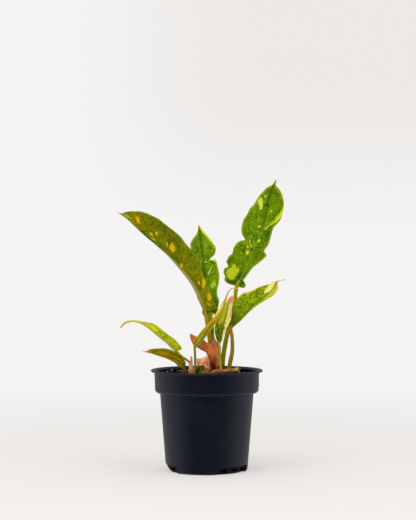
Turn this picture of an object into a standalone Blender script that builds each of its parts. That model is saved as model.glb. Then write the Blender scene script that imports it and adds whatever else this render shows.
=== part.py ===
"""Potted philodendron: a plastic nursery pot filled with potting mix, a short stem, eight leaves,
each one blade with its midrib and petiole, the papery sheaths at the stem and one cut petiole.

The origin is the centre of the pot's base, +Z is up and the front faces -Y. Sizes are given in
millimetres and turned into metres where a mesh is made.
"""

import math

import bpy
import numpy as np

MM = 0.001
GAP = 0.3

# Pot, all radii and heights in millimetres
POT_HEIGHT = 108.0
RIM_RADIUS = 60.0
COLLAR_RADIUS = 56.1
COLLAR_FOOT_RADIUS = 55.5
COLLAR_FOOT_HEIGHT = 85.0
COLLAR_EDGE = 1.6
COLLAR_UNDERSIDE = 2.6
BODY_TOP_RADIUS = 50.1
BODY_FOOT_RADIUS = 44.3
BODY_FOOT_HEIGHT = 9.0
BASE_RADIUS = 42.0
BASE_EDGE = 1.7
RIM_UNDERSIDE = 3.0
RIM_THICKNESS = 2.6
MOUTH_EDGE = 0.6
WALL = 1.2
POT_SIDES = 48

# Drain recesses around the foot, with slots through them
RECESS_AZIMUTHS = (44.0, 164.0, 284.0)
RECESS_HALF_ANGLE = 30.0
RECESS_TOP = 8.2
RECESS_SLOPE = 0.66
RECESS_STEPS = 6
SLOT_OFFSETS = (-18.0, 0.0, 18.0)
SLOT_WIDTH = 7.0
SLOT_BOTTOM = 2.6
SLOT_TOP = 5.6
SLOT_REACH = (33.0, 47.0)

# Potting mix
SOIL_LEVEL = 102.6
SOIL_LUMP = 1.3
SOIL_RIPPLES = ((0.21, 0.13, 0.0), (-0.11, 0.34, 1.0), (0.27, 0.31, 2.0))
SOIL_SLOPE = 0.02
SOIL_EDGE_DEPTH = 4.0
SOIL_SLACK = 0.2
SOIL_CLEARANCE = 0.45
SOIL_SIDES = 36
SOIL_RINGS = (45.0, 33.0, 20.0, 8.0)
HOLE_TOP = 108.0

# Leaves: a half blade is worked out in fine steps, and the mesh takes the steps listed in ACROSS.
# The blade step and the roundings are fractions of the blade's length and of its half width.
# Where a half blade is narrower than FOLD_WIDTH it folds less, so that its halves stay apart.
BLADE_THICKNESS = 0.8
SHEATH_THICKNESS = 0.9
CROSS_STEPS = 40
ACROSS = (0, 4, 18, 40)
PETIOLE_STATIONS = 7
BLADE_STEP = 0.08
FOLD_ROUNDING = 0.07
FOLD_WIDTH = 5.0
RIB_HALF_WIDTH = 0.06
RIB_DEPTH = 1.5
CHANNEL_DEPTH = 0.35
TANGENT_STEP = 0.4


LEAVES = [
    dict(
        name="leaf_left_long",
        petiole=[(-0.5, 8, 94), (1.5, 9, 112), (3.6, 8, 134), (0.6, 5, 157)],
        midrib=[(-2.5, 3, 173), (-5.7, 1, 182.5), (-14.5, -2, 200.3), (-27.9, -6, 217.5), (-40.6, -10, 231.3),
                (-52.8, -14, 241.9), (-65.1, -18, 251.9), (-77, -22, 262.5), (-85.2, -25, 269.9),
                (-94, -30, 275.5)],
        radius=(2.9, 2.2),
        face=[(0.9, 0.3, 0.3), (0.7, 0.2, 0.7), (0.55, 0.25, 0.8)],
        fold=[(0, 76), (0.25, 72), (0.5, 66), (1, 60)],
        curl=0,
        left=[(0, 2), (0.01, 7.5), (0.04, 13), (0.08, 11.5), (0.13, 11.5), (0.18, 13.5), (0.22, 14),
              (0.3, 22.5), (0.37, 21.8), (0.43, 21.2), (0.5, 23.5), (0.58, 25.2), (0.65, 25.3),
              (0.74, 21), (0.83, 16), (0.89, 10.5), (0.94, 5), (0.97, 2), (1, 0.5)],
        right=[(0, 2), (0.02, 7), (0.06, 11), (0.13, 11), (0.22, 13), (0.3, 20), (0.4, 19), (0.5, 21),
               (0.62, 22), (0.74, 18), (0.83, 13), (0.89, 7.5), (0.94, 3), (0.97, 1), (1, 0.5)],
        sweep=[(0, -0.8), (0.15, 0.1), (1, 0.5)],
        wave=(0.05, 3.0, 0.1),
        colour=(0.16, 0.22, 0.02),
    ),
    dict(
        name="leaf_middle",
        petiole=[(4.8, 15.5, 94), (5.6, 16, 115), (5.5, 15, 140), (4.9, 14.2, 156)],
        midrib=[(3.5, 15, 165), (0, 19, 187), (-3, 27, 214), (-5, 34, 236), (-9, 44, 263.5)],
        radius=(2.6, 2.5),
        face=[(0, -1, 0.1), (0.1, -1, 0.3), (0.1, -1, 0.4)],
        fold=[(0, 20), (0.5, 22), (1, 25)],
        curl=-15,
        left=[(0, 1.8), (0.03, 6.6), (0.06, 8.2), (0.09, 7.2), (0.13, 8.4), (0.18, 11.2), (0.25, 10.8),
              (0.45, 13), (0.6, 13.5), (0.7, 13.5), (0.77, 10.7), (0.89, 3.4), (0.95, 1.2), (1, 0.5)],
        right=[(0, 1.8), (0.02, 4), (0.04, 8), (0.08, 10), (0.13, 12.5), (0.17, 11.5), (0.22, 12),
               (0.28, 14.5), (0.37, 16.3), (0.47, 15), (0.54, 13.5), (0.57, 7.5), (0.6, 13.5),
               (0.65, 15), (0.72, 12.5), (0.82, 8.1), (0.94, 2.3), (1, 0.5)],
        sweep=[(0, -0.6), (0.15, 0.2), (1, 0.6)],
        wave=(0.06, 3.0, 0.4),
        colour=(0.04, 0.16, 0.02),
    ),
    dict(
        name="leaf_right_tall",
        petiole=[(16.6, 7.5, 94), (17, 7.5, 115), (19.7, 8.2, 134), (24.4, 10, 155), (30, 12.5, 177)],
        midrib=[(32.8, 15, 197.7), (37.4, 17, 206.6), (42.7, 19, 216.5), (49, 22, 232), (54.5, 25, 245),
                (59.7, 29, 259.5), (64, 32, 272.5), (66.7, 36, 287), (71.4, 41, 302.5), (76, 44, 312.5)],
        radius=(2.8, 2.1),
        face=[(-0.1, -1, 0.1), (-0.05, -1, 0.3), (-0.05, -1, 0.4)],
        fold=[(0, 12), (0.5, 14), (1, 18)],
        curl=-12,
        left=[(0, 2.1), (0.01, 8), (0.03, 14.5), (0.05, 16), (0.07, 19.5), (0.09, 20.5), (0.105, 18),
              (0.125, 22.5), (0.15, 22.5), (0.21, 20.5), (0.25, 21), (0.29, 20), (0.33, 16.5),
              (0.36, 13), (0.38, 18.5), (0.43, 21.5), (0.49, 22), (0.55, 20), (0.6, 19), (0.68, 15),
              (0.74, 12.7), (0.81, 9.2), (0.88, 5.6), (0.94, 1.8), (1, 0.5)],
        right=[(0, 2.1), (0.01, 4.5), (0.03, 8.5), (0.05, 9), (0.07, 4), (0.11, 4.6), (0.18, 6.5),
               (0.25, 13.5), (0.29, 16), (0.34, 11.5), (0.4, 13), (0.52, 12.5), (0.6, 16.8), (0.65, 17.6),
               (0.7, 18), (0.78, 15), (0.88, 8.5), (0.95, 2), (1, 0.5)],
        sweep=[(0, -0.5), (0.15, 0.2), (1, 0.7)],
        wave=(0.07, 4.0, 0.0),
        colour=(0.05, 0.2, 0.02),
    ),
    dict(
        name="leaf_right_low",
        petiole=[(22.5, -3, 94), (24.2, -4, 111.5), (27.3, -5.5, 129), (27, -6, 143)],
        midrib=[(26, -6, 153.5), (35.5, -5, 163), (48, -2, 175.5), (62.5, 2, 186.5), (70, 5, 193),
                (76.5, 8, 202), (84.5, 10, 204)],
        radius=(2.7, 1.7),
        face=[(-0.42, -0.73, 0.54), (-0.42, -0.73, 0.54), (-0.5, -0.7, 0.6)],
        fold=[(0, 25), (0.5, 25), (1, 20)],
        curl=-8,
        left=[(0, 1.6), (0.03, 4), (0.14, 15), (0.27, 18), (0.36, 18), (0.45, 15), (0.59, 13.3),
              (0.7, 9.4), (0.82, 4.9), (0.9, 1), (1, 0.5)],
        right=[(0, 1.6), (0.08, 5.5), (0.17, 5), (0.27, 5), (0.38, 6), (0.53, 7.5), (0.62, 10.5),
               (0.72, 9), (0.82, 4.5), (0.88, 1), (1, 0.5)],
        sweep=[(0, -0.6), (0.15, 0.2), (1, 0.5)],
        wave=(0.03, 3.0, 0.3),
        colour=(0.13, 0.3, 0.03),
    ),
    dict(
        name="leaf_front_small",
        petiole=[(15.5, -10, 94), (15, -11.5, 110.5), (13.8, -13.2, 128)],
        midrib=[(13.5, -13.8, 136.5), (16, -13.2, 154.5), (19.5, -11.5, 162), (21.4, -9, 171),
                (23.4, -6.8, 178.5), (27.8, -5.2, 186.5)],
        radius=(1.5, 1.1),
        face=[(-0.1, -1, 0.1), (0, -1, 0.2), (0, -1, 0.4)],
        fold=[(0, 30), (1, 25)],
        curl=-8,
        left=[(0, 1), (0.03, 1.6), (0.14, 5.2), (0.26, 7.5), (0.38, 7), (0.6, 5.2), (0.7, 4.4),
              (0.8, 3.2), (0.92, 2.4), (1, 1)],
        right=[(0, 1), (0.08, 2.8), (0.19, 4.9), (0.37, 6.5), (0.46, 6.4), (0.59, 6.3), (0.7, 5.2),
               (0.8, 4.2), (0.92, 3.2), (1, 1)],
        sweep=[(0, -0.5), (0.2, 0.3), (1, 0.5)],
        wave=(0.03, 2.0, 0.0),
        colour=(0.5, 0.5, 0.12),
    ),
    dict(
        name="leaf_front_narrow",
        petiole=[(-12.6, -9, 94), (-12.3, -10, 105), (-12.4, -11.5, 118), (-12.8, -12, 128.5)],
        midrib=[(-13, -12.5, 131), (-7.2, -14, 138), (-0.8, -16, 146.5), (5.7, -17.6, 155),
                (11.5, -18.2, 162.7), (16, -17, 172), (20.2, -14, 182.7), (23, -11, 191),
                (26, -8.5, 194.3), (33, -6, 195)],
        radius=(1.8, 1.3),
        face=[(-0.55, -0.3, 0.5), (-0.6, -0.3, 0.5), (-0.6, -0.4, 0.3)],
        fold=[(0, 60), (0.5, 66), (1, 40)],
        curl=0,
        left=[(0, 1.3), (0.03, 3), (0.1, 5.9), (0.18, 6.3), (0.28, 5.8), (0.4, 5.2), (0.52, 4.6),
              (0.62, 3.6), (0.72, 2.3), (0.82, 1.4), (1, 0.9)],
        right=[(0, 1.3), (0.03, 2.8), (0.1, 5.2), (0.18, 5.6), (0.28, 5.2), (0.4, 4.8), (0.52, 4.2),
               (0.62, 3.4), (0.72, 2.2), (0.82, 1.3), (1, 0.9)],
        sweep=[(0, -0.3), (0.2, 0.3), (1, 0.5)],
        wave=(0.0, 2.0, 0.0),
        colour=(0.3, 0.32, 0.02),
    ),
    dict(
        name="leaf_left_thin",
        petiole=[(-13, 8, 94), (-14.5, 8.5, 107), (-19.6, 9, 116), (-27, 8.5, 121.7)],
        midrib=[(-33.6, 7, 128.2), (-41.2, 5, 136), (-50, 3, 143), (-59, 1, 150.3), (-66, -1, 155.5),
                (-73.5, -3, 158.8), (-81.3, -4, 159.5), (-88.5, -5, 157), (-92.4, -6, 152.5)],
        radius=(1.7, 1.35),
        face=[(0.4, 0.1, 0.7), (0.5, 0.1, 0.8), (0.1, -0.8, 0.7)],
        fold=[(0, 55), (0.5, 60), (0.8, 30), (1, 20)],
        curl=0,
        left=[(0, 2.5), (0.012, 5), (0.03, 6.9), (0.06, 8.3), (0.12, 8.8), (0.2, 8.4), (0.36, 8.3), (0.45, 8),
              (0.59, 5.1), (0.69, 3.6), (0.8, 2.4), (0.9, 1.4), (1, 0.6)],
        right=[(0, 2.5), (0.012, 4.2), (0.03, 6), (0.06, 7), (0.2, 7.2), (0.36, 7.3), (0.45, 7), (0.59, 4),
               (0.69, 2.6), (0.8, 1.8), (0.9, 1.3), (1, 0.6)],
        sweep=[(0, -0.9), (0.06, -0.55), (0.16, 0.1), (1, 0.4)],
        wave=(0.0, 2.0, 0.0),
        colour=(0.25, 0.42, 0.02),
    ),
    dict(
        name="leaf_left_low",
        petiole=[(-20.6, -2.9, 94), (-22.2, -3.9, 104)],
        midrib=[(-25.9, -7, 111), (-31.1, -9, 117), (-40.5, -12, 121.8), (-49.7, -14, 124.4),
                (-58.5, -16, 126.7), (-68.5, -18, 128.3)],
        radius=(3.2, 2.2),
        face=[(0.5, 0.1, 0.8), (0.3, 0, 1), (0, 0, 1)],
        fold=[(0, 62), (0.5, 56), (1, 40)],
        curl=0,
        left=[(0, 4.2), (0.05, 6.4), (0.15, 8.2), (0.26, 9.6), (0.37, 10.8), (0.47, 11.1), (0.6, 9.5),
              (0.73, 7), (0.87, 3.8), (0.95, 1.2), (1, 0.5)],
        right=[(0, 2.6), (0.05, 3), (0.15, 4), (0.26, 5.5), (0.37, 9), (0.47, 9.5), (0.6, 8),
               (0.73, 6), (0.87, 3), (0.95, 1), (1, 0.5)],
        sweep=[(0, 0), (0.2, 0.2), (1, 0.4)],
        wave=(0.0, 2.0, 0.0),
        colour=(0.25, 0.22, 0.02),
    ),
]


SHEATHS = [
    dict(
        name="sheath_orange",
        midrib=[(6, -7.6, 98), (5.8, -7.6, 106), (5.4, -7.6, 113.5), (4.4, -7.6, 122), (0.6, -7.6, 128.6),
                (-5, -7.6, 133), (-11, -7.5, 137.5), (-15.2, -7.2, 141.5), (-17.3, -7, 146.2)],
        face=[(0, 1, 0), (0.2, 1, 0.2), (0.3, 1, 0.4)],
        fold=[(0, 10), (1, 10)],
        curl=50,
        left=[(0, 3.2), (0.2, 3.8), (0.4, 5.4), (0.55, 7), (0.68, 7), (0.81, 5.6), (0.91, 3.8), (1, 0.5)],
        right=[(0, 3.2), (0.27, 2.6), (0.42, 3.6), (0.55, 4.8), (0.68, 6.2), (0.81, 7), (0.91, 3.6),
               (1, 0.5)],
        sweep=[(0, 0), (1, 0.3)],
        wave=(0.06, 3.0, 0.2),
        colour=(0.7, 0.25, 0.12),
    ),
    dict(
        name="sheath_pink",
        midrib=[(10.6, -3.1, 98), (10.4, -3, 111), (9.4, -2.2, 122), (8.2, -1.7, 133), (7.8, -1.3, 142.5)],
        face=[(0, 1, 0), (0, 1, 0)],
        fold=[(0, 5), (1, 5)],
        curl=20,
        left=[(0, 3.4), (0.3, 3.8), (0.55, 5.6), (0.72, 7), (0.84, 4.6), (0.93, 1.6), (1, 0.5)],
        right=[(0, 3.4), (0.3, 3.8), (0.55, 4.6), (0.75, 4.4), (0.9, 1.8), (1, 0.5)],
        sweep=[(0, 0), (1, 0.3)],
        wave=(0.0, 2.0, 0.0),
        colour=(0.75, 0.35, 0.28),
    ),
    dict(
        name="sheath_crumpled",
        midrib=[(-3.8, -10.6, 98), (-3.7, -10.8, 106), (-3.7, -11, 112), (-4.3, -11.2, 117),
                (-5.4, -11, 120.8)],
        face=[(0, 1, 0), (0, 1, 0.3)],
        fold=[(0, 5), (1, 5)],
        curl=28,
        left=[(0, 5.4), (0.35, 6.2), (0.7, 7), (0.9, 7.2), (1, 6.6)],
        right=[(0, 6), (0.35, 6.5), (0.7, 6.8), (0.9, 6.4), (1, 5.6)],
        sweep=[(0, 0), (1, 0.2)],
        wave=(0.08, 2.0, 0.1),
        colour=(0.85, 0.5, 0.4),
    ),
    dict(
        name="sheath_small",
        midrib=[(-17.3, -12.2, 98), (-17.2, -12.3, 108), (-16.6, -12.6, 116), (-16.2, -12.8, 123.3)],
        face=[(0, 1, 0), (0, 1, 0)],
        fold=[(0, 5), (1, 5)],
        curl=40,
        left=[(0, 2.6), (0.3, 2.9), (0.6, 2.1), (0.85, 1), (1, 0.5)],
        right=[(0, 3.4), (0.3, 2.8), (0.6, 2.2), (0.85, 1.1), (1, 0.5)],
        sweep=[(0, 0), (1, 0.2)],
        wave=(0.0, 2.0, 0.0),
        colour=(0.8, 0.45, 0.35),
    ),
]

# The stem, and the cut petiole that lies on the soil, as points with a radius
STEM = [(8.3, 4, 94, 4.6), (8.3, 4, 101, 5.0), (8.3, 4, 105, 5.1), (8.3, 4, 107, 4.5), (8.3, 4, 110, 4.9),
        (8.2, 4, 112.5, 4.3), (8, 4, 115, 4.0), (8, 4, 116.5, 2.4)]
CUT_PETIOLE = [(-1, -14.5, 98, 2.0), (2, -15, 103, 2.3), (8, -16, 106.3, 2.4), (20, -17, 107.3, 2.4),
               (30, -17.8, 108.5, 2.3), (33.5, -18, 109, 2.8)]


def hermite(knots, values, wanted):
    """Values at the wanted places on a smooth curve through the knots: each piece is a cubic whose
    end slopes are those of the chord between the two neighbours."""
    knots = np.asarray(knots, float)
    values = np.asarray(values, float)
    slopes = np.gradient(values, knots, axis=0)
    piece = np.clip(np.searchsorted(knots, wanted, side="right") - 1, 0, len(knots) - 2)
    width = knots[piece + 1] - knots[piece]
    t = (wanted - knots[piece]) / width
    if values.ndim > 1:
        width = width[:, None]
        t = t[:, None]
    start = (1 + 2 * t) * (1 - t) ** 2 * values[piece]
    start_slope = t * (1 - t) ** 2 * width * slopes[piece]
    end = t ** 2 * (3 - 2 * t) * values[piece + 1]
    end_slope = t ** 2 * (t - 1) * width * slopes[piece + 1]
    return start + start_slope + end + end_slope


def unit(vectors):
    """The vectors scaled to length 1."""
    return vectors / np.linalg.norm(vectors, axis=-1, keepdims=True)


def centre_line(points, places):
    """Points and tangents at distances along the smooth curve through the given points."""
    points = np.asarray(points, float)
    along = np.concatenate([[0], np.cumsum(np.linalg.norm(np.diff(points, axis=0), axis=1))])
    here = hermite(along, points, places)
    ahead = hermite(along, points, np.minimum(places + TANGENT_STEP, along[-1]))
    behind = hermite(along, points, np.maximum(places - TANGENT_STEP, 0))
    return here, unit(ahead - behind)


def blade_stations(leaf):
    """Places along the midrib, from 0 to 1: every knot of both margins, with steps between them."""
    knots = sorted({u for u, width in leaf["left"] + leaf["right"]})
    stations = [0.0]
    for start, end in zip(knots, knots[1:]):
        steps = max(1, math.ceil((end - start) / BLADE_STEP - 0.2))
        stations += [start + (end - start) * k / steps for k in range(1, steps + 1)]
    return np.array(stations)


def leaf_frame(leaf):
    """The leaf's stations, centre line, tangents, face normals and side directions."""
    petiole = leaf.get("petiole", [])
    points = np.array(petiole + leaf["midrib"], float)
    along = np.concatenate([[0], np.cumsum(np.linalg.norm(np.diff(points, axis=0), axis=1))])
    joint = along[len(petiole)]
    stations = blade_stations(leaf)
    blade_places = joint + stations * (along[-1] - joint)
    stalk_places = np.linspace(0, joint, PETIOLE_STATIONS, endpoint=False) if petiole else np.array([])
    places = np.concatenate([stalk_places, blade_places])
    centre, tangent = centre_line(points, places)
    u = np.concatenate([stalk_places / max(joint, 1) - 1, stations])
    facing = np.array(leaf["face"], float)
    knots = np.linspace(0, 1, len(facing))
    face = np.stack([np.interp(u, knots, facing[:, axis]) for axis in range(3)], axis=1)
    normal = unit(face - (face * tangent).sum(axis=1, keepdims=True) * tangent)
    side = np.cross(tangent, normal)
    return u, len(stalk_places), centre, tangent, normal, side


def half_blade(leaf, u, sign, grow):
    """One half of the blade as offsets from the midrib: across, up, forward and the tilt, each by
    station and by step across. The half turns up by the fold angle within the first tenth of its
    width and then curls on towards its margin."""
    steps = np.linspace(0, 1, CROSS_STEPS + 1)
    margin = leaf["right"] if sign > 0 else leaf["left"]
    width = np.interp(u, *zip(*margin))[:, None] + grow
    fold = np.interp(u, *zip(*leaf["fold"]))[:, None] * np.clip(width / FOLD_WIDTH, 0, 1)
    angle = np.radians(fold * (1 - np.exp(-steps / FOLD_ROUNDING)) + leaf["curl"] * steps)
    across = np.concatenate([np.zeros((len(u), 1)), np.cumsum(np.cos(angle), axis=1)[:, :-1]], axis=1)
    up = np.concatenate([np.zeros((len(u), 1)), np.cumsum(np.sin(angle), axis=1)[:, :-1]], axis=1)
    sweep = np.interp(u, *zip(*leaf["sweep"]))[:, None]
    forward = width * sweep * steps * (0.6 + 0.4 * steps)
    amount, count, phase = leaf["wave"]
    ripple = width * amount * steps ** 2 * np.sin(2 * math.pi * (count * u[:, None] + phase + 0.2 * sign))
    fade = np.clip(u, 0, 0.15)[:, None] / 0.15
    across = across / CROSS_STEPS * width
    up = up / CROSS_STEPS * width + ripple * fade
    return across, up, forward, angle


def leaf_rings(leaf, grow=0.0):
    """Rings of points along the leaf, from the petiole's foot to the tip. Each has a top row from
    the left margin to the right one and a bottom row back again."""
    u, stalk_count, centre, tangent, normal, side = leaf_frame(leaf)
    chosen = list(ACROSS)
    petiole = leaf.get("petiole", [])
    thickness = BLADE_THICKNESS if petiole else SHEATH_THICKNESS
    count = 2 * len(chosen) - 1
    rib = np.interp(u, [0, 0.85, 1], [leaf["radius"][1], 0.5, 0.0]) if petiole else 0 * u
    rows = []
    for sign, order in ((-1, chosen[::-1]), (1, chosen[1:])):
        across, up, forward, angle = half_blade(leaf, u, sign, grow)
        for step in order:
            tilt = angle[:, step, None]
            middle = (centre + sign * across[:, step, None] * side + up[:, step, None] * normal
                      + forward[:, step, None] * tangent)
            lean = np.cos(tilt) * normal - sign * np.sin(tilt) * side
            depth = RIB_DEPTH * rib * np.exp(-(step / CROSS_STEPS / RIB_HALF_WIDTH) ** 2)
            rows.append((middle + (thickness / 2 + grow) * lean,
                         middle - (thickness / 2 + grow + depth[:, None]) * lean))
    rings = np.stack([row[0] for row in rows] + [row[1] for row in rows[::-1]], axis=1)
    if stalk_count:
        radius = np.interp(u[:stalk_count], [-1, 0], leaf["radius"])[:, None] + grow
        turn = math.pi - (np.arange(2 * count) + 0.5) * math.pi / count
        channel = np.where(np.sin(turn) > 0, 1 - CHANNEL_DEPTH * np.sin(turn) ** 4, 1)
        rings[:stalk_count] = (centre[:stalk_count, None]
                               + (radius * np.cos(turn))[..., None] * side[:stalk_count, None]
                               + (radius * np.sin(turn) * channel)[..., None] * normal[:stalk_count, None])
    return rings


def loft(name, rings, colour, roughness=0.5, flat_ends=False):
    """A closed solid through rings of equal point counts, in triangles that run alike on both faces,
    with one flat face, or a strip of triangles between its upper and its lower row, at each end."""
    rings = np.asarray(rings, float) * MM
    levels, count = rings.shape[:2]
    vertices = list(map(tuple, rings.reshape(-1, 3)))
    faces = []
    half = count // 2
    for level in range(levels - 1):
        for k in range(count):
            a = level * count + k
            b = level * count + (k + 1) % count
            c, d = b + count, a + count
            if k < half:
                faces += [(a, b, c), (a, c, d)]
            else:
                faces += [(a, b, d), (b, c, d)]
    last = (levels - 1) * count
    if flat_ends:
        faces.append(tuple(range(count - 1, -1, -1)))
        faces.append(tuple(range(last, last + count)))
    else:
        for k in range(half - 1):
            below = count - 1 - k
            faces += [(below, below - 1, k + 1), (below, k + 1, k)]
            faces += [(last + k, last + k + 1, last + below - 1), (last + k, last + below - 1, last + below)]
    return solid(name, vertices, faces, colour, roughness)


def solid(name, vertices, faces, colour, roughness=0.5):
    """A mesh object with its own material and with its faces turned outward."""
    mesh = bpy.data.meshes.new(name)
    mesh.from_pydata(vertices, [], faces)
    mesh.validate()
    volume = 0.0
    for face in mesh.polygons:
        a, b, c = (mesh.vertices[index].co for index in face.vertices[:3])
        volume += a.dot(b.cross(c))
    if volume < 0:
        mesh.flip_normals()
    item = bpy.data.objects.new(name, mesh)
    bpy.context.collection.objects.link(item)
    if colour:
        material = bpy.data.materials.new(name)
        material.use_nodes = True
        shader = material.node_tree.nodes["Principled BSDF"]
        shader.inputs["Base Color"].default_value = (*colour, 1)
        shader.inputs["Roughness"].default_value = roughness
        mesh.materials.append(material)
    return item


def circle(radius, height, count=POT_SIDES, wave=None):
    """Points of one level ring; wave adds a height by radius and azimuth."""
    turn = np.arange(count) * 2 * math.pi / count
    lift = wave(radius, turn) if wave else 0 * turn
    return np.stack([radius * np.cos(turn), radius * np.sin(turn), height + lift], axis=1)


def pot_profile(inset, open_top):
    """Radius and height of the pot's outline from the base upwards, moved inward by the inset. An
    open top goes straight on above the rim, so that it cuts the pot's mouth."""
    outline = [
        (BASE_RADIUS, 0.0),
        (BASE_RADIUS + BASE_EDGE, BASE_EDGE),
        (BODY_FOOT_RADIUS, BODY_FOOT_HEIGHT),
        (BODY_TOP_RADIUS, COLLAR_FOOT_HEIGHT - COLLAR_UNDERSIDE),
        (COLLAR_FOOT_RADIUS - COLLAR_EDGE, COLLAR_FOOT_HEIGHT - COLLAR_UNDERSIDE / 2),
        (COLLAR_FOOT_RADIUS, COLLAR_FOOT_HEIGHT + COLLAR_EDGE / 2),
        (COLLAR_RADIUS, POT_HEIGHT - RIM_UNDERSIDE),
    ]
    if inset:
        outline = [(radius - inset, height + inset - WALL) for radius, height in outline]
        outline[0] = (outline[0][0], inset)
        outline[1] = (outline[1][0], inset + BASE_EDGE)
    if open_top:
        mouth = RIM_RADIUS - RIM_UNDERSIDE
        return outline + [(mouth, POT_HEIGHT - MOUTH_EDGE), (mouth + MOUTH_EDGE, POT_HEIGHT + 3)]
    edge = RIM_THICKNESS / 3
    lip = [
        (RIM_RADIUS - edge, POT_HEIGHT - RIM_THICKNESS),
        (RIM_RADIUS, POT_HEIGHT - 2 * edge),
        (RIM_RADIUS, POT_HEIGHT - edge),
        (RIM_RADIUS - edge, POT_HEIGHT),
    ]
    return outline + lip


def recess_cutter(name, inset):
    """Three wedges that cut the sloping drain recesses, grown by the inset."""
    low, high = -2.0, RECESS_TOP + 4.0
    outside = RIM_RADIUS
    line = [(BODY_FOOT_RADIUS - 0.1 - inset * 1.2 + (height - RECESS_TOP) * RECESS_SLOPE, height)
            for height in (low, high)]
    section = [line[0], line[1], (outside, high), (outside, low)]
    half = RECESS_HALF_ANGLE + math.degrees(inset / BODY_FOOT_RADIUS)
    vertices = []
    faces = []
    for azimuth in RECESS_AZIMUTHS:
        start = len(vertices)
        for k in range(RECESS_STEPS + 1):
            turn = math.radians(azimuth - 90 - half + 2 * half * k / RECESS_STEPS)
            for radius, height in section:
                vertices.append((radius * math.cos(turn) * MM, radius * math.sin(turn) * MM, height * MM))
        for k in range(RECESS_STEPS):
            for j in range(4):
                a = start + 4 * k + j
                b = start + 4 * k + (j + 1) % 4
                faces.append((a, b, b + 4, a + 4))
        last = start + 4 * RECESS_STEPS
        faces.append((start + 3, start + 2, start + 1, start))
        faces.append((last, last + 1, last + 2, last + 3))
    return guide(solid(name, vertices, faces, None))


def slot_cutter():
    """Small boxes that cut the drain slots through the recess walls."""
    vertices = []
    faces = []
    for azimuth in RECESS_AZIMUTHS:
        for offset in SLOT_OFFSETS:
            turn = math.radians(azimuth + offset - 90)
            out = np.array([math.cos(turn), math.sin(turn), 0])
            side = np.array([-math.sin(turn), math.cos(turn), 0])
            start = len(vertices)
            for radius in SLOT_REACH:
                for across, height in ((-1, SLOT_BOTTOM), (1, SLOT_BOTTOM), (1, SLOT_TOP), (-1, SLOT_TOP)):
                    corner = radius * out + across * SLOT_WIDTH / 2 * side + np.array([0, 0, height])
                    vertices.append(tuple(corner * MM))
            faces.append((start + 3, start + 2, start + 1, start))
            faces.append((start + 4, start + 5, start + 6, start + 7))
            for j in range(4):
                a = start + j
                b = start + (j + 1) % 4
                faces.append((a, b, b + 4, a + 4))
    return guide(solid("drain_slots", vertices, faces, None))


def guide(item):
    """Marks an object as a cutter that is no part of the model."""
    item.hide_render = True
    item.display_type = "WIRE"
    return item


def cut(item, cutter):
    """Subtracts the cutter from the item with a Boolean modifier."""
    modifier = item.modifiers.new(cutter.name, "BOOLEAN")
    modifier.operation = "DIFFERENCE"
    modifier.solver = "EXACT"
    modifier.object = cutter
    return item


def make_pot():
    """The pot: its outer form less its inner form, so that the wall follows the recesses."""
    outside = [circle(*level) for level in pot_profile(0, False)]
    inside = [circle(*level) for level in pot_profile(WALL, True)]
    pot = loft("pot", outside, (0.012, 0.015, 0.02), 0.42, flat_ends=True)
    cavity = guide(loft("pot_cavity", inside, None, flat_ends=True))
    cut(cavity, recess_cutter("recesses_inside", WALL))
    cut(pot, recess_cutter("recesses_outside", 0))
    cut(pot, cavity)
    return cut(pot, slot_cutter())


def soil_lumps(radius, turn):
    """Height of the potting mix above its level: three crossing ripples that fade at the wall."""
    x = radius * np.cos(turn)
    y = radius * np.sin(turn)
    lumps = sum(np.sin(along * x + across * y + phase) for along, across, phase in SOIL_RIPPLES)
    fade = np.clip((COLLAR_RADIUS - 2 - radius) / 12, 0.2, 1)
    return SOIL_LUMP * 0.5 * lumps * fade - SOIL_SLOPE * x


def make_soil(holes):
    """The potting mix: it fills the pot with a small gap, with a lumpy top and holes for the stems."""
    inset = WALL + SOIL_CLEARANCE
    wall = [level for level in pot_profile(inset, True) if level[1] < SOIL_LEVEL - SOIL_EDGE_DEPTH]
    rings = [circle(*level, SOIL_SIDES) for level in wall]
    edge = COLLAR_RADIUS - inset - SOIL_SLACK
    for radius in (edge,) + SOIL_RINGS:
        rings.append(circle(radius, SOIL_LEVEL, SOIL_SIDES, soil_lumps))
    soil = loft("soil", rings, (0.02, 0.014, 0.01), 0.95, flat_ends=True)
    cut(soil, recess_cutter("recesses_soil", inset))
    for hole in holes:
        cut(soil, hole)
    return soil


def stalk_rings(stalk, sides, grow=0.0):
    """Round rings along a stalk given as points with a radius."""
    rows = np.array(stalk, float)
    places = np.concatenate([[0], np.cumsum(np.linalg.norm(np.diff(rows[:, :3], axis=0), axis=1))])
    centre, tangent = centre_line(rows[:, :3], places)
    side = unit(np.cross(tangent, [0.3, 1.0, 0.2]))
    other = np.cross(tangent, side)
    turn = np.arange(sides) * 2 * math.pi / sides
    radius = rows[:, 3, None, None] + grow
    return centre[:, None] + radius * (np.cos(turn)[None, :, None] * side[:, None]
                                       + np.sin(turn)[None, :, None] * other[:, None])


def low_rings(rings):
    """The rings near the soil: all that start below a height above it, and one more."""
    heights = rings[:, :, 2].min(axis=1)
    count = int(np.argmax(heights > HOLE_TOP)) if (heights > HOLE_TOP).any() else len(rings)
    return rings[:count + 1].copy()


def hole(name, rings):
    """A cutter for the hole in the soil around the foot of a stalk."""
    cutter = low_rings(rings)
    cutter[0, :, 2] -= GAP
    return guide(loft(name + "_hole", cutter, None))


def make_stalks():
    """The stem and the cut petiole, with their holes."""
    loft("stem", stalk_rings(STEM, 16), (0.06, 0.012, 0.01), 0.6)
    loft("cut_petiole", stalk_rings(CUT_PETIOLE, 10), (0.55, 0.25, 0.12), 0.6)
    return [hole("stem", stalk_rings(STEM, 16, GAP)), hole("cut_petiole", stalk_rings(CUT_PETIOLE, 10, GAP))]


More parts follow.
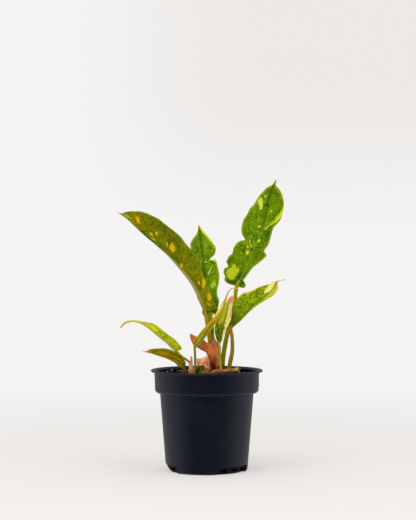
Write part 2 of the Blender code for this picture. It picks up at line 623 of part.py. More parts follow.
def make_leaves():
    """Every leaf and sheath, and for each a cutter for its hole in the soil."""
    holes = []
    for leaf in LEAVES + SHEATHS:
        loft(leaf["name"], leaf_rings(leaf), leaf["colour"], 0.35)
        holes.append(hole(leaf["name"], leaf_rings(leaf, GAP)))
    return holes


def main():
    for item in list(bpy.data.objects):
        bpy.data.objects.remove(item)
    make_pot()
    holes = make_stalks() + make_leaves()
    make_soil(holes)


main()
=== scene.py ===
import math

import bpy
import numpy as np
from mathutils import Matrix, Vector


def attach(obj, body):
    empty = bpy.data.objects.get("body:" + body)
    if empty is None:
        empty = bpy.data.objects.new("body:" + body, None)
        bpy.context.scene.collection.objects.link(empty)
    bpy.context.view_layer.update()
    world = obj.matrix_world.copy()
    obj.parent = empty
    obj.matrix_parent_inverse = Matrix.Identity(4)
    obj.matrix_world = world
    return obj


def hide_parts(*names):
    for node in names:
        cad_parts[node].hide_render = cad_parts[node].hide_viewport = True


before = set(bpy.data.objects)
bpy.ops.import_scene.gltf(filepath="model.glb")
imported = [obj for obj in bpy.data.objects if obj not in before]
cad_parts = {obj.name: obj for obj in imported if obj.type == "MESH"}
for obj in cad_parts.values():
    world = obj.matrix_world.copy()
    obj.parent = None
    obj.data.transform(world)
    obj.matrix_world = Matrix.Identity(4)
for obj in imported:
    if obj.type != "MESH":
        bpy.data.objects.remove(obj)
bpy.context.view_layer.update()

MM = 0.001

# Pot and potting mix, radii and heights in millimetres, as in the solids
POT_HEIGHT = 108.0
RIM_RADIUS = 60.0
COLLAR_RADIUS = 56.1
COLLAR_FOOT_RADIUS = 55.5
COLLAR_FOOT_HEIGHT = 85.0
COLLAR_EDGE = 1.6
COLLAR_UNDERSIDE = 2.6
BODY_TOP_RADIUS = 50.1
BODY_FOOT_RADIUS = 44.3
BODY_FOOT_HEIGHT = 9.0
BASE_RADIUS = 42.0
BASE_EDGE = 1.7
RIM_UNDERSIDE = 3.0
RIM_THICKNESS = 2.6
WALL = 1.2
RECESS_AZIMUTHS = (44.0, 164.0, 284.0)
RECESS_HALF_ANGLE = 30.0
RECESS_TOP = 8.2
RECESS_SLOPE = 0.66
SLOT_OFFSETS = (-18.0, 0.0, 18.0)
SLOT_HALF_ANGLE = 4.8
SLOT_LEVELS = (2.6, 4.1, 5.6)
NUB_HEIGHT = 91.7
SOIL_LEVEL = 102.6
SOIL_LUMP = 1.3
SOIL_INSET = 1.75

# Blades
BLADE_THICKNESS = 0.5
EDGE_THICKNESS = 0.22
CROSS_STEPS = 40
FOLD_ROUNDING = 0.07
FOLD_WIDTH = 5.0
VEIN_SPACING = 5.5
KEEL_SIDES = 24

LEAVES = [
    dict(
        name="leaf_left_long", material="Olive Leaf", stations=270,
        petiole=[(-0.5, 8, 94), (1.5, 9, 112), (3.6, 8, 134), (0.6, 5, 157)],
        midrib=[(-2.5, 3, 173), (-5.7, 1, 182.5), (-14.5, -2, 200.3), (-27.9, -6, 217.5), (-40.6, -10, 231.3),
                (-52.8, -14, 241.9), (-65.1, -18, 251.9), (-77, -22, 262.5), (-85.2, -25, 269.9),
                (-94, -30, 275.5)],
        radius=(2.9, 2.2),
        face=[(0.9, 0.3, 0.3), (0.7, 0.2, 0.7), (0.55, 0.25, 0.8)],
        fold=[(0, 76), (0.25, 72), (0.5, 66), (1, 60)],
        curl=0,
        left=[(0, 2), (0.01, 7.5), (0.04, 13), (0.08, 11.5), (0.13, 11.5), (0.18, 13.5), (0.22, 14),
              (0.3, 22.5), (0.37, 21.8), (0.43, 21.2), (0.5, 23.5), (0.58, 25.2), (0.65, 25.3),
              (0.74, 21), (0.83, 16), (0.89, 10.5), (0.94, 5), (0.97, 2), (1, 0.5)],
        right=[(0, 2), (0.02, 7), (0.06, 11), (0.13, 11), (0.22, 13), (0.3, 20), (0.4, 19), (0.5, 21),
               (0.62, 22), (0.74, 18), (0.83, 13), (0.89, 7.5), (0.94, 3), (0.97, 1), (1, 0.5)],
        sweep=[(0, -0.8), (0.15, 0.1), (1, 0.5)],
        wave=(0.05, 3.0, 0.1),
        patches=[("gold", 0.835, -0.5, 3.8, 1.8, -36), ("gold", 0.69, -0.25, 2.4, 1.2, -20),
                 ("gold", 0.66, -0.12, 3.4, 0.8, 5), ("gold", 0.655, -0.42, 1.6, 1.8, 0),
                 ("gold", 0.506, -0.41, 4.4, 3.1, -40), ("gold", 0.547, -0.34, 3.2, 0.7, -40),
                 ("gold", 0.37, -0.12, 2.2, 1.7, -30), ("gold", 0.17, -0.78, 4.8, 1.7, -25),
                 ("gold", 0.19, -0.45, 2.0, 0.9, -25), ("gold", 0.045, -0.45, 2.4, 0.8, 60),
                 ("cream", 0.62, -0.05, 2.4, 0.7, 0), ("cream", 0.94, -0.3, 7, 1.6, 0),
                 ("mottle", 0.2, -0.55, 7, 4, 0), ("gold", 0.085, -0.78, 3.6, 1.9, -25),
                 ("mottle", 0.06, -0.5, 9, 6, 0), ("mottle", 0.82, -0.35, 22, 8, 0),
                 ("gold", 0.76, 0.4, 4, 2, 0), ("gold", 0.42, 0.55, 5, 3, 20), ("mottle", 0.3, 0.3, 8, 3, 0),
                 ("cream", 0.86, -0.03, 11, 1.3, 0), ("blush", 1.0, 0.0, 6, 6, 0)],
    ),
    dict(
        name="leaf_middle", material="Glossy Green Leaf", stations=230,
        petiole=[(4.8, 15.5, 94), (5.6, 16, 115), (5.5, 15, 140), (4.9, 14.2, 156)],
        midrib=[(3.5, 15, 165), (0, 19, 187), (-3, 27, 214), (-5, 34, 236), (-9, 44, 263.5)],
        radius=(2.6, 2.5),
        face=[(0, -1, 0.1), (0.1, -1, 0.3), (0.1, -1, 0.4)],
        fold=[(0, 20), (0.5, 22), (1, 25)],
        curl=-15,
        left=[(0, 1.8), (0.03, 6.6), (0.06, 8.2), (0.09, 7.2), (0.13, 8.4), (0.18, 11.2), (0.25, 10.8),
              (0.45, 13), (0.6, 13.5), (0.7, 13.5), (0.77, 10.7), (0.89, 3.4), (0.95, 1.2), (1, 0.5)],
        right=[(0, 1.8), (0.02, 4), (0.04, 8), (0.08, 10), (0.13, 12.5), (0.17, 11.5), (0.22, 12),
               (0.28, 14.5), (0.37, 16.3), (0.47, 15), (0.54, 13.5), (0.57, 7.5), (0.6, 13.5),
               (0.65, 15), (0.72, 12.5), (0.82, 8.1), (0.94, 2.3), (1, 0.5)],
        sweep=[(0, -0.6), (0.15, 0.2), (1, 0.6)],
        wave=(0.06, 3.0, 0.4),
        patches=[("cream", 0.455, 0.42, 4.6, 0.6, 40), ("lime", 0.3, 0.55, 3.4, 2.6, 20),
                 ("mottle", 0.3, 0.2, 20, 8, 0), ("cream", 0.57, 0.3, 0.6, 2.2, 20), ("mottle", 0.72, 0.5, 14, 8, 0),
                 ("gold", 0.86, 0.95, 13, 1.3, 0), ("gold", 0.02, 0.6, 1.5, 5, 0), ("gold", 0.545, 0.9, 3, 1, 0),
                 ("blush", 1.0, 0.0, 3, 4, 0)],
    ),
    dict(
        name="leaf_right_tall", material="Deep Green Leaf", stations=270,
        petiole=[(16.6, 7.5, 94), (17, 7.5, 115), (19.7, 8.2, 134), (24.4, 10, 155), (30, 12.5, 177)],
        midrib=[(32.8, 15, 197.7), (37.4, 17, 206.6), (42.7, 19, 216.5), (49, 22, 232), (54.5, 25, 245),
                (59.7, 29, 259.5), (64, 32, 272.5), (66.7, 36, 287), (71.4, 41, 302.5), (76, 44, 312.5)],
        radius=(2.8, 2.1),
        face=[(-0.1, -1, 0.1), (-0.05, -1, 0.3), (-0.05, -1, 0.4)],
        fold=[(0, 12), (0.5, 14), (1, 18)],
        curl=-12,
        left=[(0, 2.1), (0.01, 8), (0.03, 14.5), (0.05, 16), (0.07, 19.5), (0.09, 20.5), (0.105, 18),
              (0.125, 22.5), (0.15, 22.5), (0.21, 20.5), (0.25, 21), (0.29, 20), (0.33, 16.5),
              (0.36, 13), (0.38, 18.5), (0.43, 21.5), (0.49, 22), (0.55, 20), (0.6, 19), (0.68, 15),
              (0.74, 12.7), (0.81, 9.2), (0.88, 5.6), (0.94, 1.8), (1, 0.5)],
        right=[(0, 2.1), (0.01, 4.5), (0.03, 8.5), (0.05, 9), (0.07, 4), (0.11, 4.6), (0.18, 6.5),
               (0.25, 13.5), (0.29, 16), (0.34, 11.5), (0.4, 13), (0.52, 12.5), (0.6, 16.8), (0.65, 17.6),
               (0.7, 18), (0.78, 15), (0.88, 8.5), (0.95, 2), (1, 0.5)],
        sweep=[(0, -0.5), (0.15, 0.2), (1, 0.7)],
        wave=(0.07, 4.0, 0.0),
        patches=[("cream", 0.725, -0.55, 5.6, 2.1, -18), ("cream", 0.75, -0.74, 3.6, 1.5, 10),
                 ("cream", 0.81, -0.48, 1.6, 0.8, 0),
                 ("cream", 0.69, 0.28, 1.5, 0.8, 0), ("cream", 0.545, -0.15, 2.2, 1.0, 40),
                 ("gold", 0.425, 0.12, 2.2, 1.1, 30), ("gold", 0.29, -0.25, 2.0, 1.7, 0),
                 ("cream", 0.33, -0.42, 1.1, 1.0, 0), ("cream", 0.355, -0.36, 1.0, 0.9, 0),
                 ("cream", 0.375, -0.42, 2.4, 0.7, 10), ("lime", 0.085, -0.57, 6.3, 5.8, 0),
                 ("lime", 0.625, 0.82, 9, 2.3, 28), ("cream", 0.63, 0.9, 7, 1.0, 28), ("lime", 0.565, 0.45, 6, 1.0, 25),
                 ("lime", 0.12, -0.32, 2.2, 1.2, 0), ("mottle", 0.36, -0.5, 12, 9, 0),
                 ("mottle", 0.6, -0.2, 22, 8, 0), ("gold", 1.0, 0.0, 6, 5, 0)],
    ),
    dict(
        name="leaf_right_low", material="Bright Green Leaf", stations=200,
        petiole=[(22.5, -3, 94), (24.2, -4, 111.5), (27.3, -5.5, 129), (27, -6, 143)],
        midrib=[(26, -6, 153.5), (35.5, -5, 163), (48, -2, 175.5), (62.5, 2, 186.5), (70, 5, 193),
                (76.5, 8, 202), (84.5, 10, 204)],
        radius=(2.7, 1.7),
        face=[(-0.42, -0.73, 0.54), (-0.42, -0.73, 0.54), (-0.5, -0.7, 0.6)],
        fold=[(0, 25), (0.5, 25), (1, 20)],
        curl=-8,
        left=[(0, 1.6), (0.03, 4), (0.14, 15), (0.27, 18), (0.36, 18), (0.45, 15), (0.59, 13.3),
              (0.7, 9.4), (0.82, 4.9), (0.9, 1), (1, 0.5)],
        right=[(0, 1.6), (0.08, 5.5), (0.17, 5), (0.27, 5), (0.38, 6), (0.53, 7.5), (0.62, 10.5),
               (0.72, 9), (0.82, 4.5), (0.88, 1), (1, 0.5)],
        sweep=[(0, -0.6), (0.15, 0.2), (1, 0.5)],
        wave=(0.03, 3.0, 0.3),
        patches=[("cream", 0.755, -0.4, 8.5, 3.6, -8), ("lime", 0.7, 0.6, 13, 5, 0),
                 ("gold", 0.45, -0.97, 10, 1.4, 0), ("cream", 0.42, 1.0, 17, 0.9, 0),
                 ("mottle", 0.42, -0.4, 17, 9, 0), ("gold", 0.6, -0.97, 8, 0.8, 0),
                 ("cream", 0.74, 0.95, 8, 1.2, 0), ("blush", 1.0, 0.0, 10, 6, 0)],
    ),
    dict(
        name="leaf_front_small", material="Cream Leaf", stations=150,
        petiole=[(15.5, -10, 94), (15, -11.5, 110.5), (13.8, -13.2, 128)],
        midrib=[(13.5, -13.8, 136.5), (16, -13.2, 154.5), (19.5, -11.5, 162), (21.4, -9, 171),
                (23.4, -6.8, 178.5), (27.8, -5.2, 186.5)],
        radius=(1.5, 1.1),
        face=[(-0.1, -1, 0.1), (0, -1, 0.2), (0, -1, 0.4)],
        fold=[(0, 30), (1, 25)],
        curl=-8,
        left=[(0, 1), (0.03, 1.6), (0.14, 5.2), (0.26, 7.5), (0.38, 7), (0.6, 5.2), (0.7, 4.4),
              (0.8, 3.2), (0.92, 2.4), (1, 1)],
        right=[(0, 1), (0.08, 2.8), (0.19, 4.9), (0.37, 6.5), (0.46, 6.4), (0.59, 6.3), (0.7, 5.2), (0.8, 4.2),
               (0.92, 3.2), (1, 1)],
        sweep=[(0, -0.5), (0.2, 0.3), (1, 0.5)],
        wave=(0.03, 2.0, 0.0),
        patches=[("cream", 0.62, 0.6, 15, 3.2, 0), ("cream", 0.74, -0.4, 8, 2.2, 0),
                 ("cream", 0.26, 0.85, 9, 1.4, 0), ("gold", 0.6, -0.5, 13, 3.0, 0), ("mottle", 0.45, -0.4, 12, 5, 0),
                 ("cream", 0.47, -0.35, 5, 0.7, -12), ("cream", 0.42, -0.7, 4, 0.5, -12), ("mottle", 0.4, 0.5, 8, 4, 0), ("blush", 0.95, 0.5, 6, 3.6, 0),
                 ("blush", 0.57, 0.9, 3.2, 1.6, 0), ("blush", 0.66, 0.95, 2.2, 1.2, 0)],
    ),
    dict(
        name="leaf_front_narrow", material="Golden Leaf", stations=180,
        petiole=[(-12.6, -9, 94), (-12.3, -10, 105), (-12.4, -11.5, 118), (-12.8, -12, 128.5)],
        midrib=[(-13, -12.5, 131), (-7.2, -14, 138), (-0.8, -16, 146.5), (5.7, -17.6, 155),
                (11.5, -18.2, 162.7), (16, -17, 172), (20.2, -14, 182.7), (23, -11, 191),
                (26, -8.5, 194.3), (33, -6, 195)],
        radius=(1.8, 1.3),
        face=[(-0.55, -0.3, 0.5), (-0.6, -0.3, 0.5), (-0.6, -0.4, 0.3)],
        fold=[(0, 60), (0.5, 66), (1, 40)],
        curl=0,
        left=[(0, 1.3), (0.03, 3), (0.1, 5.9), (0.18, 6.3), (0.28, 5.8), (0.4, 5.2), (0.52, 4.6),
              (0.62, 3.6), (0.72, 2.3), (0.82, 1.4), (1, 0.9)],
        right=[(0, 1.3), (0.03, 2.8), (0.1, 5.2), (0.18, 5.6), (0.28, 5.2), (0.4, 4.8), (0.52, 4.2),
               (0.62, 3.4), (0.72, 2.2), (0.82, 1.3), (1, 0.9)],
        sweep=[(0, -0.3), (0.2, 0.3), (1, 0.5)],
        wave=(0.0, 2.0, 0.0),
        patches=[("gold", 0.33, -0.4, 13, 3.2, 0), ("gold", 0.5, 0.3, 12, 2.2, 0), ("mottle", 0.3, 0.0, 20, 8, 0),
                 ("cream", 0.12, 0.75, 8, 1.2, 3), ("cream", 0.12, -0.15, 8, 0.8, 3), ("cream", 0.55, -0.6, 12, 1.6, 4),
                 ("cream", 0.58, 0.4, 11, 1.7, 0), ("gold", 0.5, -0.1, 9, 0.6, 0), ("blush", 0.9, 0.0, 18, 6, 0)],
    ),
    dict(
        name="leaf_left_thin", material="Lime Leaf", stations=180,
        petiole=[(-13, 8, 94), (-14.5, 8.5, 107), (-19.6, 9, 116), (-27, 8.5, 121.7)],
        midrib=[(-33.6, 7, 128.2), (-41.2, 5, 136), (-50, 3, 143), (-59, 1, 150.3), (-66, -1, 155.5),
                (-73.5, -3, 158.8), (-81.3, -4, 159.5), (-88.5, -5, 157), (-92.4, -6, 152.5)],
        radius=(1.7, 1.35),
        face=[(0.4, 0.1, 0.7), (0.5, 0.1, 0.8), (0.1, -0.8, 0.7)],
        fold=[(0, 55), (0.5, 60), (0.8, 30), (1, 20)],
        curl=0,
        left=[(0, 2.5), (0.012, 5), (0.03, 6.9), (0.06, 8.3), (0.12, 8.8), (0.2, 8.4), (0.36, 8.3), (0.45, 8),
              (0.59, 5.1), (0.69, 3.6), (0.8, 2.4), (0.9, 1.4), (1, 0.6)],
        right=[(0, 2.5), (0.012, 4.2), (0.03, 6), (0.06, 7), (0.2, 7.2), (0.36, 7.3), (0.45, 7), (0.59, 4),
               (0.69, 2.6), (0.8, 1.8), (0.9, 1.3), (1, 0.6)],
        sweep=[(0, -0.9), (0.06, -0.55), (0.16, 0.1), (1, 0.4)],
        wave=(0.0, 2.0, 0.0),
        patches=[("mottle", 0.3, -0.5, 34, 9, 0), ("gold", 0.5, -0.5, 7, 2.2, 0), ("lime", 0.05, -0.5, 3.8, 2.6, 0),
                 ("gold", 0.72, 0.0, 14, 5, 0), ("cream", 0.3, 0.0, 18, 0.8, 0), ("blush", 1.0, 0.0, 9, 5, 0)],
    ),
    dict(
        name="leaf_left_low", material="Bronze Leaf", stations=150,
        petiole=[(-20.6, -2.9, 94), (-22.2, -3.9, 104)],
        midrib=[(-25.9, -7, 111), (-31.1, -9, 117), (-40.5, -12, 121.8), (-49.7, -14, 124.4),
                (-58.5, -16, 126.7), (-68.5, -18, 128.3)],
        radius=(3.2, 2.2),
        face=[(0.5, 0.1, 0.8), (0.3, 0, 1), (0, 0, 1)],
        fold=[(0, 62), (0.5, 56), (1, 40)],
        curl=0,
        left=[(0, 4.2), (0.05, 6.4), (0.15, 8.2), (0.26, 9.6), (0.37, 10.8), (0.47, 11.1), (0.6, 9.5),
              (0.73, 7), (0.87, 3.8), (0.95, 1.2), (1, 0.5)],
        right=[(0, 2.6), (0.05, 3), (0.15, 4), (0.26, 5.5), (0.37, 9), (0.47, 9.5), (0.6, 8),
               (0.73, 6), (0.87, 3), (0.95, 1), (1, 0.5)],
        sweep=[(0, 0), (0.2, 0.2), (1, 0.4)],
        wave=(0.0, 2.0, 0.0),
        patches=[("gold", 0.5, -0.35, 9, 3, 0), ("gold", 0.26, -0.4, 6, 1.6, 10), ("lime", 0.45, -1.0, 16, 1.4, 0),
                 ("mottle", 0.4, -0.5, 26, 7, 0), ("blush", 0.97, 0.0, 10, 6, 0)],
    ),
]

SHEATHS = [
    dict(
        name="sheath_orange", material="Salmon Sheath", stations=150, ribs=7, crumple=0.5,
        midrib=[(6, -7.6, 98), (5.8, -7.6, 106), (5.4, -7.6, 113.5), (4.4, -7.6, 122), (0.6, -7.6, 128.6),
                (-5, -7.6, 133), (-11, -7.5, 137.5), (-15.2, -7.2, 141.5), (-17.3, -7, 146.2)],
        face=[(0, 1, 0), (0.2, 1, 0.2), (0.3, 1, 0.4)],
        fold=[(0, 10), (1, 10)],
        curl=50,
        left=[(0, 3.2), (0.2, 3.8), (0.4, 5.4), (0.55, 7), (0.68, 7), (0.81, 5.6), (0.91, 3.8), (1, 0.5)],
        right=[(0, 3.2), (0.27, 2.6), (0.42, 3.6), (0.55, 4.8), (0.68, 6.2), (0.81, 7), (0.91, 3.6), (1, 0.5)],
        sweep=[(0, 0), (1, 0.3)],
        wave=(0.06, 3.0, 0.2),
    ),
    dict(
        name="sheath_pink", material="Dusty Pink Sheath", stations=110, ribs=5, crumple=0.3,
        midrib=[(10.6, -3.1, 98), (10.4, -3, 111), (9.4, -2.2, 122), (8.2, -1.7, 133), (7.8, -1.3, 142.5)],
        face=[(0, 1, 0), (0, 1, 0)],
        fold=[(0, 5), (1, 5)],
        curl=20,
        left=[(0, 3.4), (0.3, 3.8), (0.55, 5.6), (0.72, 7), (0.84, 4.6), (0.93, 1.6), (1, 0.5)],
        right=[(0, 3.4), (0.3, 3.8), (0.55, 4.6), (0.75, 4.4), (0.9, 1.8), (1, 0.5)],
        sweep=[(0, 0), (1, 0.3)],
        wave=(0.0, 2.0, 0.0),
    ),
    dict(
        name="sheath_crumpled", material="Pale Pink Sheath", stations=110, ribs=4, crumple=1.1,
        midrib=[(-3.8, -10.6, 98), (-3.7, -10.8, 106), (-3.7, -11, 112), (-4.3, -11.2, 117),
                (-5.4, -11, 120.8)],
        face=[(0, 1, 0), (0, 1, 0.3)],
        fold=[(0, 5), (1, 5)],
        curl=28,
        left=[(0, 5.4), (0.35, 6.2), (0.7, 7), (0.9, 7.2), (1, 6.6)],
        right=[(0, 6), (0.35, 6.5), (0.7, 6.8), (0.9, 6.4), (1, 5.6)],
        sweep=[(0, 0), (1, 0.2)],
        wave=(0.08, 2.0, 0.1),
    ),
    dict(
        name="sheath_small", material="Pale Pink Sheath", stations=90, ribs=3, crumple=0.3,
        midrib=[(-17.3, -12.2, 98), (-17.2, -12.3, 108), (-16.6, -12.6, 116), (-16.2, -12.8, 123.3)],
        face=[(0, 1, 0), (0, 1, 0)],
        fold=[(0, 5), (1, 5)],
        curl=40,
        left=[(0, 2.6), (0.3, 2.9), (0.6, 2.1), (0.85, 1), (1, 0.5)],
        right=[(0, 3.4), (0.3, 2.8), (0.6, 2.2), (0.85, 1.1), (1, 0.5)],
        sweep=[(0, 0), (1, 0.2)],
        wave=(0.0, 2.0, 0.0),
    ),
]

# Scraps on the potting mix: torn leaf pieces, a dark bract, and the frayed end of the cut petiole. Each
# is a small blade with a point, half width and colour of its own.
SCRAPS = [
    ("torn_leaf", "Yellow Green Scrap", [(-9.8, -14.8, 104.8), (-6.5, -15.1, 106), (-3.5, -15.2, 105.8),
                                         (-1.2, -15, 104.8)], 1.2),
    ("torn_leaf_dark", "Olive Scrap", [(-10.4, -13.2, 104.5), (-8, -13.4, 108.6), (-4.6, -13.5, 110.8),
                                       (-1.4, -13.6, 110.2)], 3.1),
    ("torn_leaf_upright", "Olive Scrap", [(-7.8, -13.6, 103.8), (-8, -13.8, 107), (-8.7, -13.7, 110.6),
                                          (-9.4, -13.4, 113.8)], 1.8),
    ("curled_scrap", "Tan Scrap", [(-2.2, -14.2, 104), (0, -14.4, 107.6), (2.4, -14, 109.8),
                                   (4.4, -13.6, 109.6)], 2.2),
    ("foot_bract", "Maroon Bract", [(17.6, -6.8, 103), (17.9, -6.6, 107), (17.6, -6.3, 111),
                                    (16.6, -6, 115.4)], 2.3),
    ("foot_bract_low", "Maroon Bract", [(4.6, -12.8, 103), (4.2, -12.6, 107), (3.6, -12.4, 110.5),
                                        (3.4, -12.2, 113)], 2.0),
    ("frayed_end_top", "Yellow Green Scrap", [(32.6, -18.2, 110.6), (33.8, -18.6, 111.8), (34.6, -18.8, 112.9)], 0.8),
    ("frayed_end_side", "Yellow Green Scrap", [(33, -19, 109.4), (34.6, -19.6, 109.8), (35.8, -20, 109.6)], 0.8),
    ("frayed_end_low", "Yellow Green Scrap", [(32.6, -19.2, 107.6), (34, -19.8, 107.2), (35, -20, 106.4)], 0.8),
]

# The stem, and the cut petiole that lies on the soil, as points with a radius
STEM = [(8.3, 4, 94, 4.6), (8.3, 4, 101, 5.0), (8.3, 4, 105, 5.1), (8.3, 4, 107, 4.5), (8.3, 4, 110, 4.9),
        (8.2, 4, 112.5, 4.3), (8, 4, 115, 4.0), (8, 4, 116.5, 2.4)]
CUT_PETIOLE = [(-1, -14.5, 98, 2.0), (2, -15, 103, 2.3), (8, -16, 106.3, 2.4), (20, -17, 107.3, 2.4),
               (30, -17.8, 108.5, 2.3), (33.5, -18, 109, 2.8)]


# ---------------------------------------------------------------------------- shapes
def hermite(knots, values, wanted, slopes=None):
    """Cubic curve through the knots: between two knots it is start, end and their slopes weighted by
    the four cubic blends of the share of the way between them."""
    knots = np.asarray(knots, float)
    values = np.asarray(values, float)
    if slopes is None:
        slopes = np.gradient(values, knots, axis=0)
    piece = np.clip(np.searchsorted(knots, wanted, side="right") - 1, 0, len(knots) - 2)
    width = knots[piece + 1] - knots[piece]
    t = (wanted - knots[piece]) / width
    if values.ndim > 1:
        width = width[:, None]
        t = t[:, None]
    start = (1 + 2 * t) * (1 - t) ** 2 * values[piece] + t * (1 - t) ** 2 * width * slopes[piece]
    end = t ** 2 * (3 - 2 * t) * values[piece + 1] + t ** 2 * (t - 1) * width * slopes[piece + 1]
    return start + end


def flowing(table, wanted):
    """Smooth curve through a table of (place, value) that stays between its knots: the slope at a
    knot is the harmonic mean of its two chords' slopes, or zero where they differ in sign."""
    knots, values = np.array(table, float).T
    chords = np.diff(values) / np.diff(knots)
    slopes = np.concatenate([chords[:1], 0 * chords[1:], chords[-1:]])
    same = chords[:-1] * chords[1:] > 0
    total = np.where(same, chords[:-1] + chords[1:], 1)
    slopes[1:-1] = np.where(same, 2 * chords[:-1] * chords[1:] / total, 0)
    return hermite(knots, values, wanted, slopes)


def unit(vectors):
    """The vectors scaled to length 1."""
    return vectors / np.linalg.norm(vectors, axis=-1, keepdims=True)


def roughness_field(points, size, seed, waves=14):
    """Smooth noise from -1 to 1 over points in millimetres: the mean of sine waves of random
    direction and phase, with wavelengths about the given size."""
    rng = np.random.default_rng(seed)
    directions = unit(rng.normal(size=(waves, 3))) * 2 * math.pi / (size * rng.uniform(0.7, 1.5, (waves, 1)))
    phases = rng.uniform(0, 2 * math.pi, waves)
    return np.sin(points @ directions.T + phases).sum(axis=-1) / math.sqrt(waves)


def centre_line(points, places):
    """Points and tangents at distances along the smooth curve through the given points."""
    points = np.asarray(points, float)
    along = np.concatenate([[0], np.cumsum(np.linalg.norm(np.diff(points, axis=0), axis=1))])
    step = 0.4
    here = hermite(along, points, places)
    ahead = hermite(along, points, np.minimum(places + step, along[-1]))
    behind = hermite(along, points, np.maximum(places - step, 0))
    return here, unit(ahead - behind)


def leaf_frame(leaf, u):
    """Centre, tangent, normal and side direction of the leaf at places u, which run from -1 at the
    petiole's foot through 0 at the blade's start to 1 at the tip, and the blade's length."""
    petiole = leaf.get("petiole", [])
    points = np.array(petiole + leaf["midrib"], float)
    along = np.concatenate([[0], np.cumsum(np.linalg.norm(np.diff(points, axis=0), axis=1))])
    joint = along[len(petiole)]
    length = along[-1] - joint
    centre, tangent = centre_line(points, joint + np.where(u < 0, u * joint, u * length))
    facing = np.array(leaf["face"], float)
    knots = np.linspace(0, 1, len(facing))
    face = np.stack([np.interp(u, knots, facing[:, axis]) for axis in range(3)], axis=1)
    normal = unit(face - (face * tangent).sum(axis=1, keepdims=True) * tangent)
    return centre, tangent, normal, np.cross(tangent, normal), length


def half_blade(leaf, u, sign):
    """Offsets of one half of the blade from the midrib, by station and by step across. The half
    turns up by fold times one minus a falling exponential of the step, less where it is narrow, curls
    on by curl times the step, runs forward by the sweep, and ripples by a sine that grows outward."""
    steps = np.linspace(0, 1, CROSS_STEPS + 1)
    width = flowing(leaf["right"] if sign > 0 else leaf["left"], u)[:, None]
    fold = np.interp(u, *zip(*leaf["fold"]))[:, None] * np.clip(width / FOLD_WIDTH, 0, 1)
    angle = np.radians(fold * (1 - np.exp(-steps / FOLD_ROUNDING)) + leaf["curl"] * steps)
    nothing = np.zeros((len(u), 1))
    across = np.concatenate([nothing, np.cumsum(np.cos(angle), axis=1)[:, :-1]], axis=1) / CROSS_STEPS * width
    up = np.concatenate([nothing, np.cumsum(np.sin(angle), axis=1)[:, :-1]], axis=1) / CROSS_STEPS * width
    sweep = np.interp(u, *zip(*leaf["sweep"]))[:, None]
    forward = width * sweep * steps * (0.6 + 0.4 * steps)
    amount, count, phase = leaf["wave"]
    ripple = width * amount * steps ** 2 * np.sin(2 * math.pi * (count * u[:, None] + phase + 0.2 * sign))
    up = up + ripple * np.clip(u / 0.15, 0, 1)[:, None]
    return steps, width, across, up, forward, angle


def blade_rings(leaf):
    """Rings of the blade: its middle surface moved out by half its thickness along the lean of each
    point, upper row from left to right and lower row back. Leaves bulge between slanting lateral
    veins; sheaths have ribs along them and crumple with noise."""
    u = np.linspace(0, 1, leaf["stations"])
    centre, tangent, normal, side, length = leaf_frame(leaf, u)
    upper, lower, marks = [], [], []
    for sign in (-1, 1):
        steps, width, across, up, forward, angle = half_blade(leaf, u, sign)
        middle = (centre[:, None] + sign * across[..., None] * side[:, None] + up[..., None] * normal[:, None]
                  + forward[..., None] * tangent[:, None])
        lean = np.cos(angle)[..., None] * normal[:, None] - sign * np.sin(angle)[..., None] * side[:, None]
        out = steps * width
        vein = (u[:, None] * length - 0.6 * out - 0.004 * out ** 2) / VEIN_SPACING + (0.5 if sign > 0 else 0)
        fade = np.clip(steps * 4, 0, 1) * np.clip((1 - steps) * 5, 0, 1) * np.clip(width / 8, 0, 1)
        if "ribs" in leaf:
            bulge = 0.28 * np.sin(2 * math.pi * leaf["ribs"] * steps * (1 + 0.15 * np.sin(5 * u[:, None])))
            bulge = bulge + leaf["crumple"] * 0.6 * roughness_field(middle, 7, 11) * np.clip(u * 3, 0, 1)[:, None]
        else:
            bulge = 0.26 * fade * (np.abs(np.sin(math.pi * vein)) ** 0.7 - 0.6)
            bulge = bulge + 0.45 * fade * roughness_field(middle, 17, 5)
            bulge = bulge + 0.12 * fade * roughness_field(middle, 5, 6)
        middle = middle + bulge[..., None] * lean
        half = 0.5 * (EDGE_THICKNESS + (BLADE_THICKNESS - EDGE_THICKNESS) * np.sqrt(1 - steps ** 2 * 0.98))
        half = half * np.clip(0.35 + width / 6, 0.35, 1)
        u_here = np.broadcast_to(u[:, None], out.shape)
        mark = np.stack([u_here, sign * np.broadcast_to(steps, out.shape), width - out, vein, out,
                         sign * out, u_here * length], axis=-1)
        order = slice(None, None, -1) if sign < 0 else slice(1, None)
        upper.append((middle + half[..., None] * lean)[:, order])
        lower.append((middle - half[..., None] * lean)[:, order])
        marks.append(mark[:, order])
    upper, lower, marks = (np.concatenate(rows, axis=1) for rows in (upper, lower, marks))
    rings = np.concatenate([upper, lower[:, ::-1]], axis=1)
    under = np.concatenate([np.zeros(upper.shape[:2]), np.ones(lower.shape[:2])], axis=1)
    return rings, np.concatenate([marks, marks[:, ::-1]], axis=1), under


